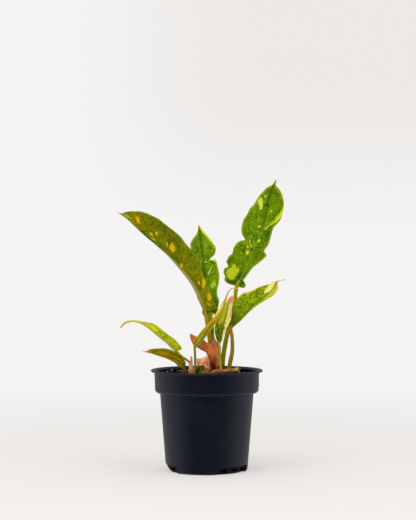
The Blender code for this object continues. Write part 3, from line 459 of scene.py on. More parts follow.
def keel_rings(leaf):
    """Rings of the petiole and of the midrib that goes on under the blade: circles whose radius
    falls from the foot to the joint and on to the tip, flattened above by a channel of
    one minus a share of the fourth power of the sine, and lowered under the blade."""
    u = np.concatenate([np.linspace(-1, 0, 60, endpoint=False), np.linspace(0, 0.985, 120)])
    centre, tangent, normal, side, length = leaf_frame(leaf, u)
    foot, joint = leaf["radius"]
    radius = np.interp(u, [-1, 0, 0.85, 1], [foot, joint, 0.45, 0.12])[:, None]
    sink = 0.62 * radius * np.clip(u / 0.06, 0, 1)[:, None]
    turn = (np.arange(KEEL_SIDES) + 0.5) * 2 * math.pi / KEEL_SIDES
    channel = np.where(np.sin(turn) > 0, 1 - 0.35 * np.sin(turn) ** 4, 1)
    knobs = 1 + 0.03 * roughness_field(centre, 9, 3)[:, None]
    rings = (centre[:, None] - sink[..., None] * normal[:, None]
             + (radius * knobs * np.cos(turn))[..., None] * side[:, None]
             + (radius * knobs * np.sin(turn) * channel)[..., None] * normal[:, None])
    u_here = np.broadcast_to(u[:, None], rings.shape[:2])
    zero = np.zeros(rings.shape[:2])
    marks = np.stack([u_here, zero + turn / math.pi - 1, zero + 6, zero, zero, zero, u_here * length], axis=-1)
    return rings, marks, zero + 1


def stalk_rings(stalk, levels, sides, uneven):
    """Round rings along a stalk given as points with a radius, made uneven by noise in share of the
    radius."""
    rows = np.array(stalk, float)
    along = np.concatenate([[0], np.cumsum(np.linalg.norm(np.diff(rows[:, :3], axis=0), axis=1))])
    places = np.linspace(0, along[-1], levels)
    centre, tangent = centre_line(rows[:, :3], places)
    radius = flowing(list(zip(along, rows[:, 3])), places)[:, None, None]
    side = unit(np.cross(tangent, [0.3, 1.0, 0.2]))
    other = np.cross(tangent, side)
    turn = np.arange(sides) * 2 * math.pi / sides
    out = np.cos(turn)[None, :, None] * side[:, None] + np.sin(turn)[None, :, None] * other[:, None]
    rings = centre[:, None] + radius * out
    rings = rings + radius * out * uneven * roughness_field(rings, 4, 21)[..., None]
    zero = np.zeros(rings.shape[:2])
    u = np.broadcast_to((places / along[-1])[:, None], zero.shape)
    marks = np.stack([u, zero + turn / math.pi - 1, zero + 6, zero, zero, zero, u * along[-1]], axis=-1)
    return rings, marks, zero


def ring_faces(levels, count, start=0):
    """Quads between neighbouring rings, and at each end a strip of quads across the ring."""
    grid = start + np.arange(levels * count).reshape(levels, count)
    beside = np.roll(grid, -1, axis=1)
    walls = np.stack([grid[:-1], beside[:-1], beside[1:], grid[1:]], axis=-1).reshape(-1, 4)
    k = np.arange(count // 2 - 1)
    strip = np.stack([k, count - 1 - k, count - 2 - k, k + 1], axis=-1)
    return np.concatenate([walls, grid[0][strip], grid[-1][strip[:, ::-1]]])


def outward(points, faces):
    """The faces turned so that the volume they enclose is positive: the sum over faces of the first
    corner dotted with the cross product of the diagonals, taken about the mean point."""
    corners = (points - points.mean(axis=0))[faces]
    cross = np.cross(corners[:, 2] - corners[:, 0], corners[:, 3] - corners[:, 1])
    volume = (corners.mean(axis=1) * cross).sum()
    return faces if volume > 0 else faces[:, ::-1]


def mesh_piece(name, points, faces, material, node=None, attributes=None):
    """A smooth mesh object from points in millimetres and quads, with its finish and body."""
    mesh = bpy.data.meshes.new(name)
    mesh.from_pydata(points * MM, [], faces if isinstance(faces, list) else faces.tolist())
    mesh.polygons.foreach_set("use_smooth", np.ones(len(mesh.polygons), bool))
    for key, values in (attributes or {}).items():
        kind = "FLOAT_VECTOR" if values.ndim > 1 else "FLOAT"
        layer = mesh.attributes.new(key, kind, "POINT")
        layer.data.foreach_set("vector" if values.ndim > 1 else "value", values.astype(np.float32).ravel())
    mesh.materials.append(material)
    mesh.update()
    piece = bpy.data.objects.new(name, mesh)
    bpy.context.scene.collection.objects.link(piece)
    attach(piece, "root")
    if node:
        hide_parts(node)
    return piece


PATCH_KINDS = ("gold", "cream", "lime", "blush", "mottle")


def patch_fields(leaf, marks):
    """For each kind of patch a field that is 1 at a patch's centre and 0.5 on its outline: one half
    to the sum of the distances along and across, in shares of its half lengths, each to a power
    that gives the outline blunt corners. The largest of all patches counts."""
    fields = {"leaf_" + kind: np.zeros(len(marks)) for kind in PATCH_KINDS}
    across, along = marks[:, 5], marks[:, 6]
    length = leaf_frame(leaf, np.array([0.0]))[4]
    for kind, u, v, half_length, half_width, turn in leaf.get("patches", []):
        width = flowing(leaf["right"] if v > 0 else leaf["left"], np.clip(marks[:, 0], 0, 1))
        x = along - u * length
        y = across - v * width
        angle = math.radians(turn)
        a = (x * math.cos(angle) + y * math.sin(angle)) / half_length
        b = (y * math.cos(angle) - x * math.sin(angle)) / half_width
        key = "leaf_" + kind
        fields[key] = np.maximum(fields[key], 0.5 ** (np.abs(a) ** 1.5 + np.abs(b) ** 1.5))
    return fields


def make_leaf(leaf, materials):
    """One leaf or sheath as a closed blade and, on a leaf, a closed petiole that goes on as the keel."""
    shells = [blade_rings(leaf)]
    if "petiole" in leaf:
        shells.append(keel_rings(leaf))
    points, faces, marks, under = [], [], [], []
    start = 0
    for rings, mark, side in shells:
        levels, count = rings.shape[:2]
        here = rings.reshape(-1, 3)
        shell = outward(here, ring_faces(levels, count))
        points.append(here)
        faces.append(shell + start)
        marks.append(mark.reshape(-1, mark.shape[-1]))
        under.append(side.ravel())
        start += len(here)
    points, faces, marks, under = (np.concatenate(rows) for rows in (points, faces, marks, under))
    attributes = {
        "leaf_place": marks[:, :3],
        "leaf_vein": np.stack([marks[:, 3], marks[:, 4], under], axis=1),
    }
    attributes.update(patch_fields(leaf, marks))
    node = None if "slot" in leaf else leaf["name"]
    return mesh_piece(leaf["name"] + "_blade", points, faces, materials[leaf["material"]], node,
                      attributes)


def make_scrap(name, finish_name, midrib, half_width, materials):
    """A scrap that lies on the potting mix: a small ribbed blade that faces forward."""
    margin = [(0, 0.5 * half_width), (0.3, half_width), (0.6, 0.9 * half_width), (0.85, 0.5 * half_width), (1, 0.25)]
    return make_leaf(dict(
        name=name, material=finish_name, stations=40, ribs=2, crumple=0.4, midrib=midrib, slot="soil",
        face=[(0, -1, 0.3), (0.1, -1, 0.4)], fold=[(0, 8), (1, 8)], curl=25, left=margin, right=margin,
        sweep=[(0, 0), (1, 0.3)], wave=(0.1, 2.0, 0.2)), materials)


def rounded(outline, cut, steps=5):
    """The outline with each corner replaced by a quadratic curve that starts and ends at the cut
    length from it, or at 0.45 of a shorter side."""
    outline = np.asarray(outline, float)
    t = np.linspace(0, 1, steps)[:, None]
    corner = outline[1:-1]
    before, after = outline[:-2] - corner, outline[2:] - corner
    reach = [np.minimum(cut / np.linalg.norm(leg, axis=1), 0.45)[:, None] * leg for leg in (before, after)]
    a, b = (corner + leg for leg in reach)
    curves = ((1 - t) ** 2 * a[:, None] + 2 * t * (1 - t) * corner[:, None] + t ** 2 * b[:, None])
    return np.concatenate([outline[:1], curves.reshape(-1, 2), outline[-1:]])


def body_outline():
    """Radius and height of the pot's outer wall from its base to under the rim, with rounded corners,
    with rows at the slot levels and between them."""
    outline = rounded([
        (BASE_RADIUS, 0.0),
        (BASE_RADIUS + BASE_EDGE, BASE_EDGE),
        (BODY_FOOT_RADIUS, BODY_FOOT_HEIGHT),
        (BODY_TOP_RADIUS, COLLAR_FOOT_HEIGHT - COLLAR_UNDERSIDE),
        (COLLAR_FOOT_RADIUS - COLLAR_EDGE, COLLAR_FOOT_HEIGHT - COLLAR_UNDERSIDE / 2),
        (COLLAR_FOOT_RADIUS, COLLAR_FOOT_HEIGHT + COLLAR_EDGE / 2),
        (COLLAR_RADIUS, POT_HEIGHT - RIM_UNDERSIDE),
    ], 0.8)
    extra = np.concatenate([SLOT_LEVELS, np.linspace(6.4, 9.6, 9), np.linspace(14, 78, 20), np.linspace(89, 103, 6)])
    heights = np.unique(np.round(np.concatenate([outline[:, 1], extra]), 3))
    return np.stack([np.interp(heights, outline[:, 1], outline[:, 0]), heights], axis=1)


def recessed(radius, height, azimuth, inset):
    """Radius less what the drain recesses cut: inside a recess's range of azimuth it is no more than
    a sloping line of the height."""
    line = BODY_FOOT_RADIUS - 0.1 - 1.2 * inset + (height - RECESS_TOP) * RECESS_SLOPE
    half = RECESS_HALF_ANGLE + math.degrees(inset / BODY_FOOT_RADIUS)
    middles = np.array(RECESS_AZIMUTHS) - 90
    apart = np.abs((azimuth[..., None] - middles + 180) % 360 - 180).min(axis=-1)
    share = np.clip((half - apart) / 0.5 + 0.5, 0, 1)
    return radius - share * np.clip(radius - line, 0, None)


def pot_azimuths():
    """Azimuths of the pot's columns: even steps, and pairs at the edges of recesses and slots."""
    special = []
    for middle in RECESS_AZIMUTHS:
        for half in (RECESS_HALF_ANGLE, RECESS_HALF_ANGLE + math.degrees(WALL / BODY_FOOT_RADIUS)):
            for sign in (-1, 1):
                special += [middle - 90 + sign * half - 0.26, middle - 90 + sign * half + 0.26]
        for offset in SLOT_OFFSETS:
            special += [middle - 90 + offset - SLOT_HALF_ANGLE, middle - 90 + offset + SLOT_HALF_ANGLE]
    special = np.sort(np.array(special) % 360)
    even = np.arange(0, 360, 1.5)
    apart = np.abs((even[:, None] - special + 180) % 360 - 180).min(axis=1)
    return np.sort(np.concatenate([special, even[apart > 0.3]]))


def make_pot():
    """The pot as one closed surface: radius and height by row, turned about the axis by column. The
    inner wall repeats the outer rows moved in by the wall, and each slot joins the two walls round
    the cells that it leaves out. Gives points, faces and how much painted shade each point takes:
    the inside wall under the rim, and the recesses, are darkened as if in shadow."""
    body = body_outline()
    edge = RIM_THICKNESS / 3
    lip = rounded([
        (COLLAR_RADIUS, POT_HEIGHT - RIM_UNDERSIDE),
        (COLLAR_RADIUS + 0.5, POT_HEIGHT - RIM_THICKNESS),
        (RIM_RADIUS - edge, POT_HEIGHT - RIM_THICKNESS),
        (RIM_RADIUS, POT_HEIGHT - 2 * edge),
        (RIM_RADIUS, POT_HEIGHT - edge),
        (RIM_RADIUS - edge, POT_HEIGHT),
        (RIM_RADIUS - RIM_UNDERSIDE + 0.4, POT_HEIGHT - 0.2),
        (RIM_RADIUS - RIM_UNDERSIDE - 0.8, POT_HEIGHT - 1.4),
        (COLLAR_RADIUS - WALL, POT_HEIGHT - RIM_UNDERSIDE),
    ], 0.5)[1:-1]
    inner = body.copy()
    inner[:, 0] -= WALL
    inner[:, 1] += WALL * np.clip(1 - inner[:, 1] / SLOT_LEVELS[0], 0, 1)
    profile = np.concatenate([body, lip, inner[::-1]])
    inset = np.concatenate([np.zeros(len(body) + len(lip)), np.full(len(body), WALL)])
    azimuth = pot_azimuths()
    radius = np.broadcast_to(profile[:, :1], (len(profile), len(azimuth))).copy()
    height = np.broadcast_to(profile[:, 1:], radius.shape)
    for rows, depth in ((inset == 0, 0.0), (inset > 0, WALL)):
        radius[rows] = recessed(radius[rows], height[rows], azimuth[None, :] + 0 * height[rows], depth)
    turn = np.radians(azimuth)
    plain = np.broadcast_to(profile[:, :1], radius.shape)
    # painted shade: 1 on the inside wall from just under the rim down and 0.75 in the drain recesses; the finish turns
    # these near black as shadow
    painted_shade = np.where(inset[:, None] > 0, np.clip((POT_HEIGHT - 1 - height) / 1.5, 0, 1),
                      0.75 * np.clip((plain - radius) / 0.5, 0, 1))
    radius = radius + 0.05 * np.sin(3 * turn + 0.4) * np.clip(height / 40, 0, 1) * (height < 100)
    nub = np.exp(-(((height - NUB_HEIGHT) / 1.1) ** 2 + ((azimuth + 180) % 360 - 180) ** 2 / 2.2))
    radius = radius + 0.5 * nub * (inset[:, None] == 0)
    points = np.stack([radius * np.cos(turn), radius * np.sin(turn), height], axis=-1)
    rows, columns = radius.shape
    grid = np.arange(rows * columns).reshape(rows, columns)
    beside = np.roll(grid, -1, axis=1)
    cells = np.stack([grid[:-1], beside[:-1], beside[1:], grid[1:]], axis=-1)
    middle_turn = azimuth + 0.5 * ((np.roll(azimuth, -1) - azimuth) % 360)
    slots = (np.array(RECESS_AZIMUTHS)[:, None] - 90 + np.array(SLOT_OFFSETS)).ravel()
    in_slot = (np.abs((middle_turn[:, None] - slots + 180) % 360 - 180) < SLOT_HALF_ANGLE).any(axis=1)
    level = 0.5 * (body[:-1, 1] + body[1:, 1])
    in_level = (level > SLOT_LEVELS[0]) & (level < SLOT_LEVELS[-1])
    open_body = in_level[:, None] & in_slot[None, :]
    is_open = np.zeros((rows - 1, columns), bool)
    is_open[:len(body) - 1] = open_body
    is_open[rows - len(body):] = open_body[::-1]
    faces = [cells[~is_open]]
    inner_grid = grid[::-1][:len(body)]
    inner_beside = beside[::-1][:len(body)]
    outer_grid, outer_beside = grid[:len(body)], beside[:len(body)]
    padded_open = np.pad(open_body, ((1, 1), (0, 0)))
    for here, there, shift in ((padded_open[1:-1], padded_open[:-2], 0), (padded_open[1:-1], padded_open[2:], 1)):
        row, column = np.nonzero(here & ~there)
        row = row + shift
        quad = np.stack([outer_grid[row, column], outer_beside[row, column],
                         inner_beside[row, column], inner_grid[row, column]], axis=-1)
        faces.append(quad[:, ::-1] if shift else quad)
    for step in (1, -1):
        row, column = np.nonzero(open_body & ~np.roll(open_body, step, axis=1))
        pick, inner_pick = (outer_grid, inner_grid) if step == 1 else (outer_beside, inner_beside)
        quad = np.stack([pick[row, column], inner_pick[row, column],
                         inner_pick[row + 1, column], pick[row + 1, column]], axis=-1)
        faces.append(quad if step == 1 else quad[:, ::-1])
    points = points.reshape(-1, 3)
    foot, floor = len(points), len(points) + 1
    points = np.concatenate([points, [[0, 0, 0], [0, 0, WALL]]])
    painted_shade = np.concatenate([painted_shade.ravel(), [1, 1]])
    faces = [quads[:, [0, 1, 2, 3]].tolist() for quads in faces]
    faces = [face for quads in faces for face in quads]
    faces += np.stack([beside[0], grid[0], np.full(columns, foot)], axis=-1).tolist()
    faces += np.stack([grid[-1], beside[-1], np.full(columns, floor)], axis=-1).tolist()
    return points, faces, painted_shade


def soil_height(x, y):
    """Height of the potting mix: three crossing ripples that fade at the wall, and crumbs as ridged
    noise at three sizes."""
    radius = np.hypot(x, y)
    lumps = np.sin(0.21 * x + 0.13 * y) + np.sin(0.34 * y - 0.11 * x + 1.0) + np.sin(0.27 * x + 0.31 * y + 2.0)
    height = SOIL_LEVEL + SOIL_LUMP * 0.5 * lumps * np.clip((54.0 - radius) / 12, 0.2, 1) - 0.02 * x
    flat = np.stack([x, y, 0 * x], axis=-1)
    for size, amount, seed in ((9, 0.5, 31), (4, 0.45, 32), (1.8, 0.28, 33)):
        height = height + amount * (0.6 - np.abs(roughness_field(flat, size, seed)))
    return height


def soil_rings(sides=240):
    """Rings of the potting mix: its wall inside the pot from the floor up, and its crumbly top from
    the wall inward."""
    body = body_outline()
    body = body[(body[:, 1] > 0.5) & (body[:, 1] < SOIL_LEVEL - 3)]
    azimuth = np.arange(sides) * 360 / sides
    radius = np.broadcast_to(body[:, :1] - SOIL_INSET, (len(body), sides))
    height = np.broadcast_to(body[:, 1:], radius.shape) + SOIL_INSET * np.clip(1 - body[:, 1:] / 5, 0, 1)
    radius = recessed(radius, height, azimuth[None, :] + 0 * height, SOIL_INSET)
    turn = np.radians(azimuth)
    wall = np.stack([radius * np.cos(turn), radius * np.sin(turn), height + 0 * radius], axis=-1)
    out = np.linspace(COLLAR_RADIUS - SOIL_INSET - 0.4, 0.5, 110)[:, None]
    x, y = out * np.cos(turn), out * np.sin(turn)
    top = np.stack([x, y, soil_height(x, y)], axis=-1)
    return np.concatenate([wall, top])


def lump():
    """A small rounded shape of 18 points and 32 triangles: an octahedron with each edge halved and
    its points put on the unit sphere."""
    corner = np.array([(1, 0, 0), (-1, 0, 0), (0, 1, 0), (0, -1, 0), (0, 0, 1), (0, 0, -1)], float)
    sides = [(0, 2, 4), (2, 1, 4), (1, 3, 4), (3, 0, 4), (2, 0, 5), (1, 2, 5), (3, 1, 5), (0, 3, 5)]
    points = list(corner)
    middles = {}
    faces = []
    for a, b, c in sides:
        middle = []
        for pair in ((a, b), (b, c), (c, a)):
            key = tuple(sorted(pair))
            if key not in middles:
                middles[key] = len(points)
                points.append(unit(corner[key[0]] + corner[key[1]]))
            middle.append(middles[key])
        ab, bc, ca = middle
        faces += [(a, ab, ca), (ab, b, bc), (ca, bc, c), (ab, bc, ca)]
    return np.array(points), np.array(faces)


def scattered(count, size, stretch, seed, centre=None, spread=None, lift=0.0):
    """Many lumps on the potting mix, each scaled by a random size and stretch, roughened and turned
    by a random rotation. They lie evenly over the pot, or about a centre within a spread."""
    rng = np.random.default_rng(seed)
    shape, faces = lump()
    if centre is None:
        out = 52.5 * np.sqrt(rng.uniform(0, 1, count))
        turn = rng.uniform(0, 2 * math.pi, count)
        x, y = out * np.cos(turn), out * np.sin(turn)
    else:
        x, y = (centre[axis] + rng.normal(0, spread, count) for axis in (0, 1))
    scale = rng.uniform(*size, (count, 1)) * rng.uniform(0.6, 1.4, (count, 3)) * np.array(stretch)
    points = shape[None] * scale[:, None] * (1 + 0.25 * rng.normal(size=(count, len(shape), 1)))
    spin = unit(rng.normal(size=(count, 4)) * [1, 0.35, 0.35, 1])
    w, axis = spin[:, None, :1], spin[:, None, 1:]
    cross = np.cross(np.broadcast_to(axis, points.shape), points)
    points = points + 2 * w * cross + 2 * np.cross(np.broadcast_to(axis, points.shape), cross)
    place = np.stack([x, y, soil_height(x, y) + lift], axis=-1)
    points = points + place[:, None]
    tone = np.repeat(rng.uniform(0, 1, count), len(shape))
    every = (faces[None] + len(shape) * np.arange(count)[:, None, None]).reshape(-1, 3)
    return points.reshape(-1, 3), every, tone


# ---------------------------------------------------------------------------- materials
def add(tree, kind, inputs=None, out=0, **settings):
    """A new node with its settings, each named input linked from a socket or set to a value. Gives
    the chosen output socket."""
    node = tree.nodes.new(kind)
    for key, value in settings.items():
        setattr(node, key, value)
    for key, value in (inputs or {}).items():
        if isinstance(value, bpy.types.NodeSocket):
            tree.links.new(value, node.inputs[key])
        else:
            node.inputs[key].default_value = value
    return node.outputs[out]


def maths(tree, operation, a, b=0.0, c=0.0):
    return add(tree, "ShaderNodeMath", {0: a, 1: b, 2: c}, operation=operation)


def band(tree, value, low, high):
    """0 up to the low value, 1 from the high one, and a smooth step between; low may be the larger."""
    return add(tree, "ShaderNodeMapRange", {"Value": value, "From Min": low, "From Max": high},
               interpolation_type="SMOOTHSTEP")


def mix(tree, share, a, b):
    return add(tree, "ShaderNodeMix", {0: share, 6: a, 7: b}, 2, data_type="RGBA", clamp_factor=True)


def noise(tree, place, scale, detail=3.0, rough=0.55):
    return add(tree, "ShaderNodeTexNoise", {"Vector": place, "Scale": scale, "Detail": detail, "Roughness": rough})


def colour(red, green, blue):
    return (red, green, blue, 1.0)


def new_group(name, inputs, outputs):
    """An empty node group with named sockets: kinds are Color, Float and Vector."""
    group = bpy.data.node_groups.new(name, "ShaderNodeTree")
    for direction, sockets in (("INPUT", inputs), ("OUTPUT", outputs)):
        for socket, kind in sockets.items():
            group.interface.new_socket(name=socket, in_out=direction, socket_type="NodeSocket" + kind)
    entry = group.nodes.new("NodeGroupInput")
    exit_node = group.nodes.new("NodeGroupOutput")
    return group, entry.outputs, exit_node.inputs


def leaf_group():
    """Colour, roughness and height of a leaf from its place along and across, its vein count and the
    fields of its patches."""
    group, given, result = new_group(
        "Variegated Leaf",
        {"Place": "Vector", "Leaf Place": "Vector", "Leaf Vein": "Vector", "Gold Field": "Float",
         "Cream Field": "Float", "Lime Field": "Float", "Blush Field": "Float", "Mottle Field": "Float",
         "Deep": "Color",
         "Bright": "Color", "Under": "Color", "Under Bright": "Color", "Rib": "Color", "Margin": "Color",
         "Gold": "Color", "Cream": "Color", "Lime": "Color", "Blush": "Color", "Stalk": "Color",
         "Stalk Edge": "Color", "Speckles And Glints": "Float", "Margin Width": "Float", "Rib Reach": "Float",
         "Rib Spread": "Float", "Foot Shade": "Float", "Mottling": "Float",
         "Raggedness": "Float"},
        {"Color": "Color", "Roughness": "Float", "Height": "Float"})
    place = given["Place"]
    split = add(group, "ShaderNodeSeparateXYZ", {0: given["Leaf Place"]}).node.outputs
    along, across, to_edge = split[0], split[1], split[2]
    split = add(group, "ShaderNodeSeparateXYZ", {0: given["Leaf Vein"]}).node.outputs
    vein, out, under = split[0], split[1], split[2]
    broad = noise(group, place, 70, 3)
    fine = noise(group, place, 420, 4, 0.6)
    stretched = add(group, "ShaderNodeCombineXYZ", {
        0: maths(group, "MULTIPLY", vein, 1.5), 1: maths(group, "MULTIPLY", across, 1.6), 2: 0.0})
    streak = noise(group, stretched, 3.2, 4, 0.65)
    blotch = noise(group, place, 150, 4, 0.6)
    tone = maths(group, "ADD", maths(group, "MULTIPLY", broad, 0.3), maths(group, "MULTIPLY", streak, 0.5))
    tone = maths(group, "ADD", tone, maths(group, "MULTIPLY", fine, 0.25))
    tone = maths(group, "ADD", tone, maths(group, "MULTIPLY", blotch, 0.25))
    share = band(group, tone, 0.53, 0.76)
    top = mix(group, share, given["Deep"], given["Bright"])
    below = mix(group, share, given["Under"], given["Under Bright"])
    base = mix(group, under, top, below)
    # lateral veins: thin lines where the vein count is whole
    apart = maths(group, "ABSOLUTE", maths(group, "SUBTRACT", maths(group, "FRACT", maths(
        group, "ADD", vein, 100.5)), 0.5))
    vein_line = maths(group, "MULTIPLY", band(group, apart, 0.09, 0.0), band(group, out, 0.6, 3.0))
    base = mix(group, maths(group, "MULTIPLY", vein_line, 0.16), base, given["Rib"])
    shade_end = maths(group, "MULTIPLY", given["Foot Shade"], 0.3)
    shade = maths(group, "MULTIPLY", band(group, along, given["Foot Shade"], shade_end), 0.85)
    base = mix(group, maths(group, "MULTIPLY", shade, maths(group, "SUBTRACT", 1.0, under)), base, given["Deep"])
    glow = maths(group, "MULTIPLY", band(group, to_edge, given["Margin Width"], 0.0), 0.45)
    base = mix(group, glow, base, given["Margin"])
    # small patches, and speckles that are partly the leaf's own pale flecks and partly painted highlights
    ragged = maths(group, "MULTIPLY", maths(group, "SUBTRACT", noise(group, place, 300, 4, 0.6), 0.5), 1.0)
    torn = maths(group, "MULTIPLY", maths(group, "SUBTRACT", streak, 0.5), 0.7)
    uneven = maths(group, "MULTIPLY", maths(group, "ADD", ragged, torn), given["Raggedness"])
    dots = add(group, "ShaderNodeTexVoronoi", {"Vector": place, "Scale": 430.0, "Randomness": 1.0}).node
    far = maths(group, "ADD", dots.outputs["Distance"], maths(group, "MULTIPLY", ragged, 0.9))
    dot = band(group, far, 0.36, 0.22)
    sparse = band(group, add(group, "ShaderNodeSeparateColor", {0: dots.outputs["Color"]}), 0.6, 0.64)
    cloud = band(group, noise(group, place, 95, 2), 0.4, 0.58)
    # painted highlight in part: sparse cream dots, strongest on the glossy green and lime leaves, stand in for small
    # glints as well as for the leaf's own flecks
    speckle_and_glint = maths(group, "MULTIPLY", maths(group, "MULTIPLY", dot, sparse), maths(
        group, "MULTIPLY", cloud, given["Speckles And Glints"]))
    base = mix(group, maths(group, "MULTIPLY", speckle_and_glint, 0.6), base, given["Cream"])
    grain = maths(group, "ADD", maths(group, "MULTIPLY", noise(group, place, 330, 3, 0.6), 0.6), maths(
        group, "MULTIPLY", streak, 0.4))
    grain = maths(group, "ADD", grain, maths(group, "MULTIPLY", given["Mottle Field"], 0.1))
    mottle = maths(group, "MULTIPLY", band(group, grain, 0.54, 0.66), band(group, given["Mottle Field"], 0.1, 0.5))
    base = mix(group, maths(group, "MULTIPLY", mottle, given["Mottling"]), base, given["Lime"])
    for kind in ("Lime", "Cream", "Gold"):
        near = band(group, given[kind + " Field"], 0.08, 0.3)
        field = maths(group, "ADD", given[kind + " Field"], maths(group, "MULTIPLY", uneven, near))
        edge = maths(group, "ADD", maths(group, "MULTIPLY", band(group, field, 0.4, 0.54), 0.8),
                     maths(group, "MULTIPLY", band(group, field, 0.2, 0.75), 0.2))
        grain = maths(group, "ADD", 0.5, maths(group, "MULTIPLY", maths(group, "ADD", fine, streak), 0.45))
        base = mix(group, maths(group, "MULTIPLY", edge, grain), base, given[kind])
    # midrib, margin and tip
    fibre = add(group, "ShaderNodeCombineXYZ", {0: maths(group, "MULTIPLY", across, 3.0), 1: along, 2: 0.0})
    fibres = noise(group, fibre, 3.0, 3)
    reach = maths(group, "SUBTRACT", given["Rib Reach"], 0.3)
    line = band(group, out, 0.9, 0.45)
    pale_part = band(group, along, given["Rib Reach"], reach)
    core = maths(group, "MULTIPLY", band(group, out, 2.6, 0.3), maths(group, "SUBTRACT", 1.0, pale_part))
    base = mix(group, maths(group, "MULTIPLY", core, 0.6), base, given["Deep"])
    base = mix(group, maths(group, "MULTIPLY", line, 0.5), base, given["Deep"])
    rib = maths(group, "MULTIPLY", maths(group, "MULTIPLY", line, pale_part), band(group, along, 0.0, 0.08))
    base = mix(group, maths(group, "MULTIPLY", rib, 0.8), base, given["Rib"])
    spread = maths(group, "MULTIPLY", band(group, out, given["Rib Spread"], 0.0), band(group, along, 0.6, 0.15))
    base = mix(group, maths(group, "MULTIPLY", spread, band(group, fibres, 0.3, 0.6)), base, given["Rib"])
    rim = band(group, maths(group, "ADD", to_edge, ragged), 0.6, 0.2)
    base = mix(group, maths(group, "MULTIPLY", rim, 0.6), base, given["Margin"])
    blush = band(group, maths(group, "ADD", given["Blush Field"], maths(group, "MULTIPLY", ragged, 0.3)), 0.3, 0.75)
    base = mix(group, blush, base, given["Blush"])
    # petiole
    stalk_tone = band(group, maths(group, "ADD", maths(group, "MULTIPLY", fibres, 0.7),
                                   maths(group, "MULTIPLY", broad, 0.4)), 0.42, 0.68)
    stalk = mix(group, stalk_tone, given["Stalk"], given["Stalk Edge"])
    on_stalk = maths(group, "MULTIPLY", band(group, along, 0.05, -0.01), band(group, out, 3.0, 1.2))
    group.links.new(mix(group, on_stalk, base, stalk), result["Color"])
    sheen = maths(group, "ADD", 0.3, maths(group, "MULTIPLY", broad, 0.16))
    sheen = maths(group, "ADD", sheen, maths(group, "MULTIPLY", under, 0.12))
    group.links.new(maths(group, "ADD", sheen, maths(group, "MULTIPLY", fine, 0.08)), result["Roughness"])
    height = maths(group, "ADD", maths(group, "MULTIPLY", fine, 0.35), maths(group, "MULTIPLY", streak, 0.5))
    height = maths(group, "SUBTRACT", height, maths(group, "MULTIPLY", vein_line, 0.5))
    group.links.new(height, result["Height"])
    return group


def sheath_group():
    """Colour, roughness and height of a papery sheath: dark ridges run along it in stretched noise,
    with pale dry skin between them."""
    group, given, result = new_group(
        "Papery Sheath",
        {"Place": "Vector", "Leaf Place": "Vector", "Flesh": "Color", "Ridge": "Color", "Pale": "Color",
         "Foot": "Color", "Tip": "Color", "Ridges": "Float", "Foot Reach": "Float", "Tip Start": "Float"},
        {"Color": "Color", "Roughness": "Float", "Height": "Float"})
    split = add(group, "ShaderNodeSeparateXYZ", {0: given["Leaf Place"]}).node.outputs
    along, across, to_edge = split[0], split[1], split[2]
    fibre = add(group, "ShaderNodeCombineXYZ", {0: maths(group, "MULTIPLY", across, given["Ridges"]),
                                                1: maths(group, "MULTIPLY", along, 1.6), 2: 0.0})
    ridge = noise(group, fibre, 1.6, 4, 0.6)
    broad = noise(group, given["Place"], 190, 3)
    base = mix(group, band(group, broad, 0.42, 0.72), given["Flesh"], given["Pale"])
    base = mix(group, band(group, ridge, 0.5, 0.6), base, given["Ridge"])
    worn = maths(group, "ADD", along, maths(group, "MULTIPLY", maths(group, "SUBTRACT", ridge, 0.5), 0.5))
    base = mix(group, maths(group, "MULTIPLY", band(group, to_edge, 0.7, 0.1), 0.6), base, given["Pale"])
    base = mix(group, maths(group, "MULTIPLY", band(group, worn, given["Tip Start"], 1.0), 0.8), base, given["Tip"])
    foot_end = maths(group, "MULTIPLY", given["Foot Reach"], 0.35)
    base = mix(group, band(group, worn, given["Foot Reach"], foot_end), base, given["Foot"])
    group.links.new(base, result["Color"])
    group.links.new(maths(group, "ADD", 0.45, maths(group, "MULTIPLY", broad, 0.3)), result["Roughness"])
    group.links.new(maths(group, "ADD", ridge, maths(group, "MULTIPLY", broad, 0.5)), result["Height"])
    return group


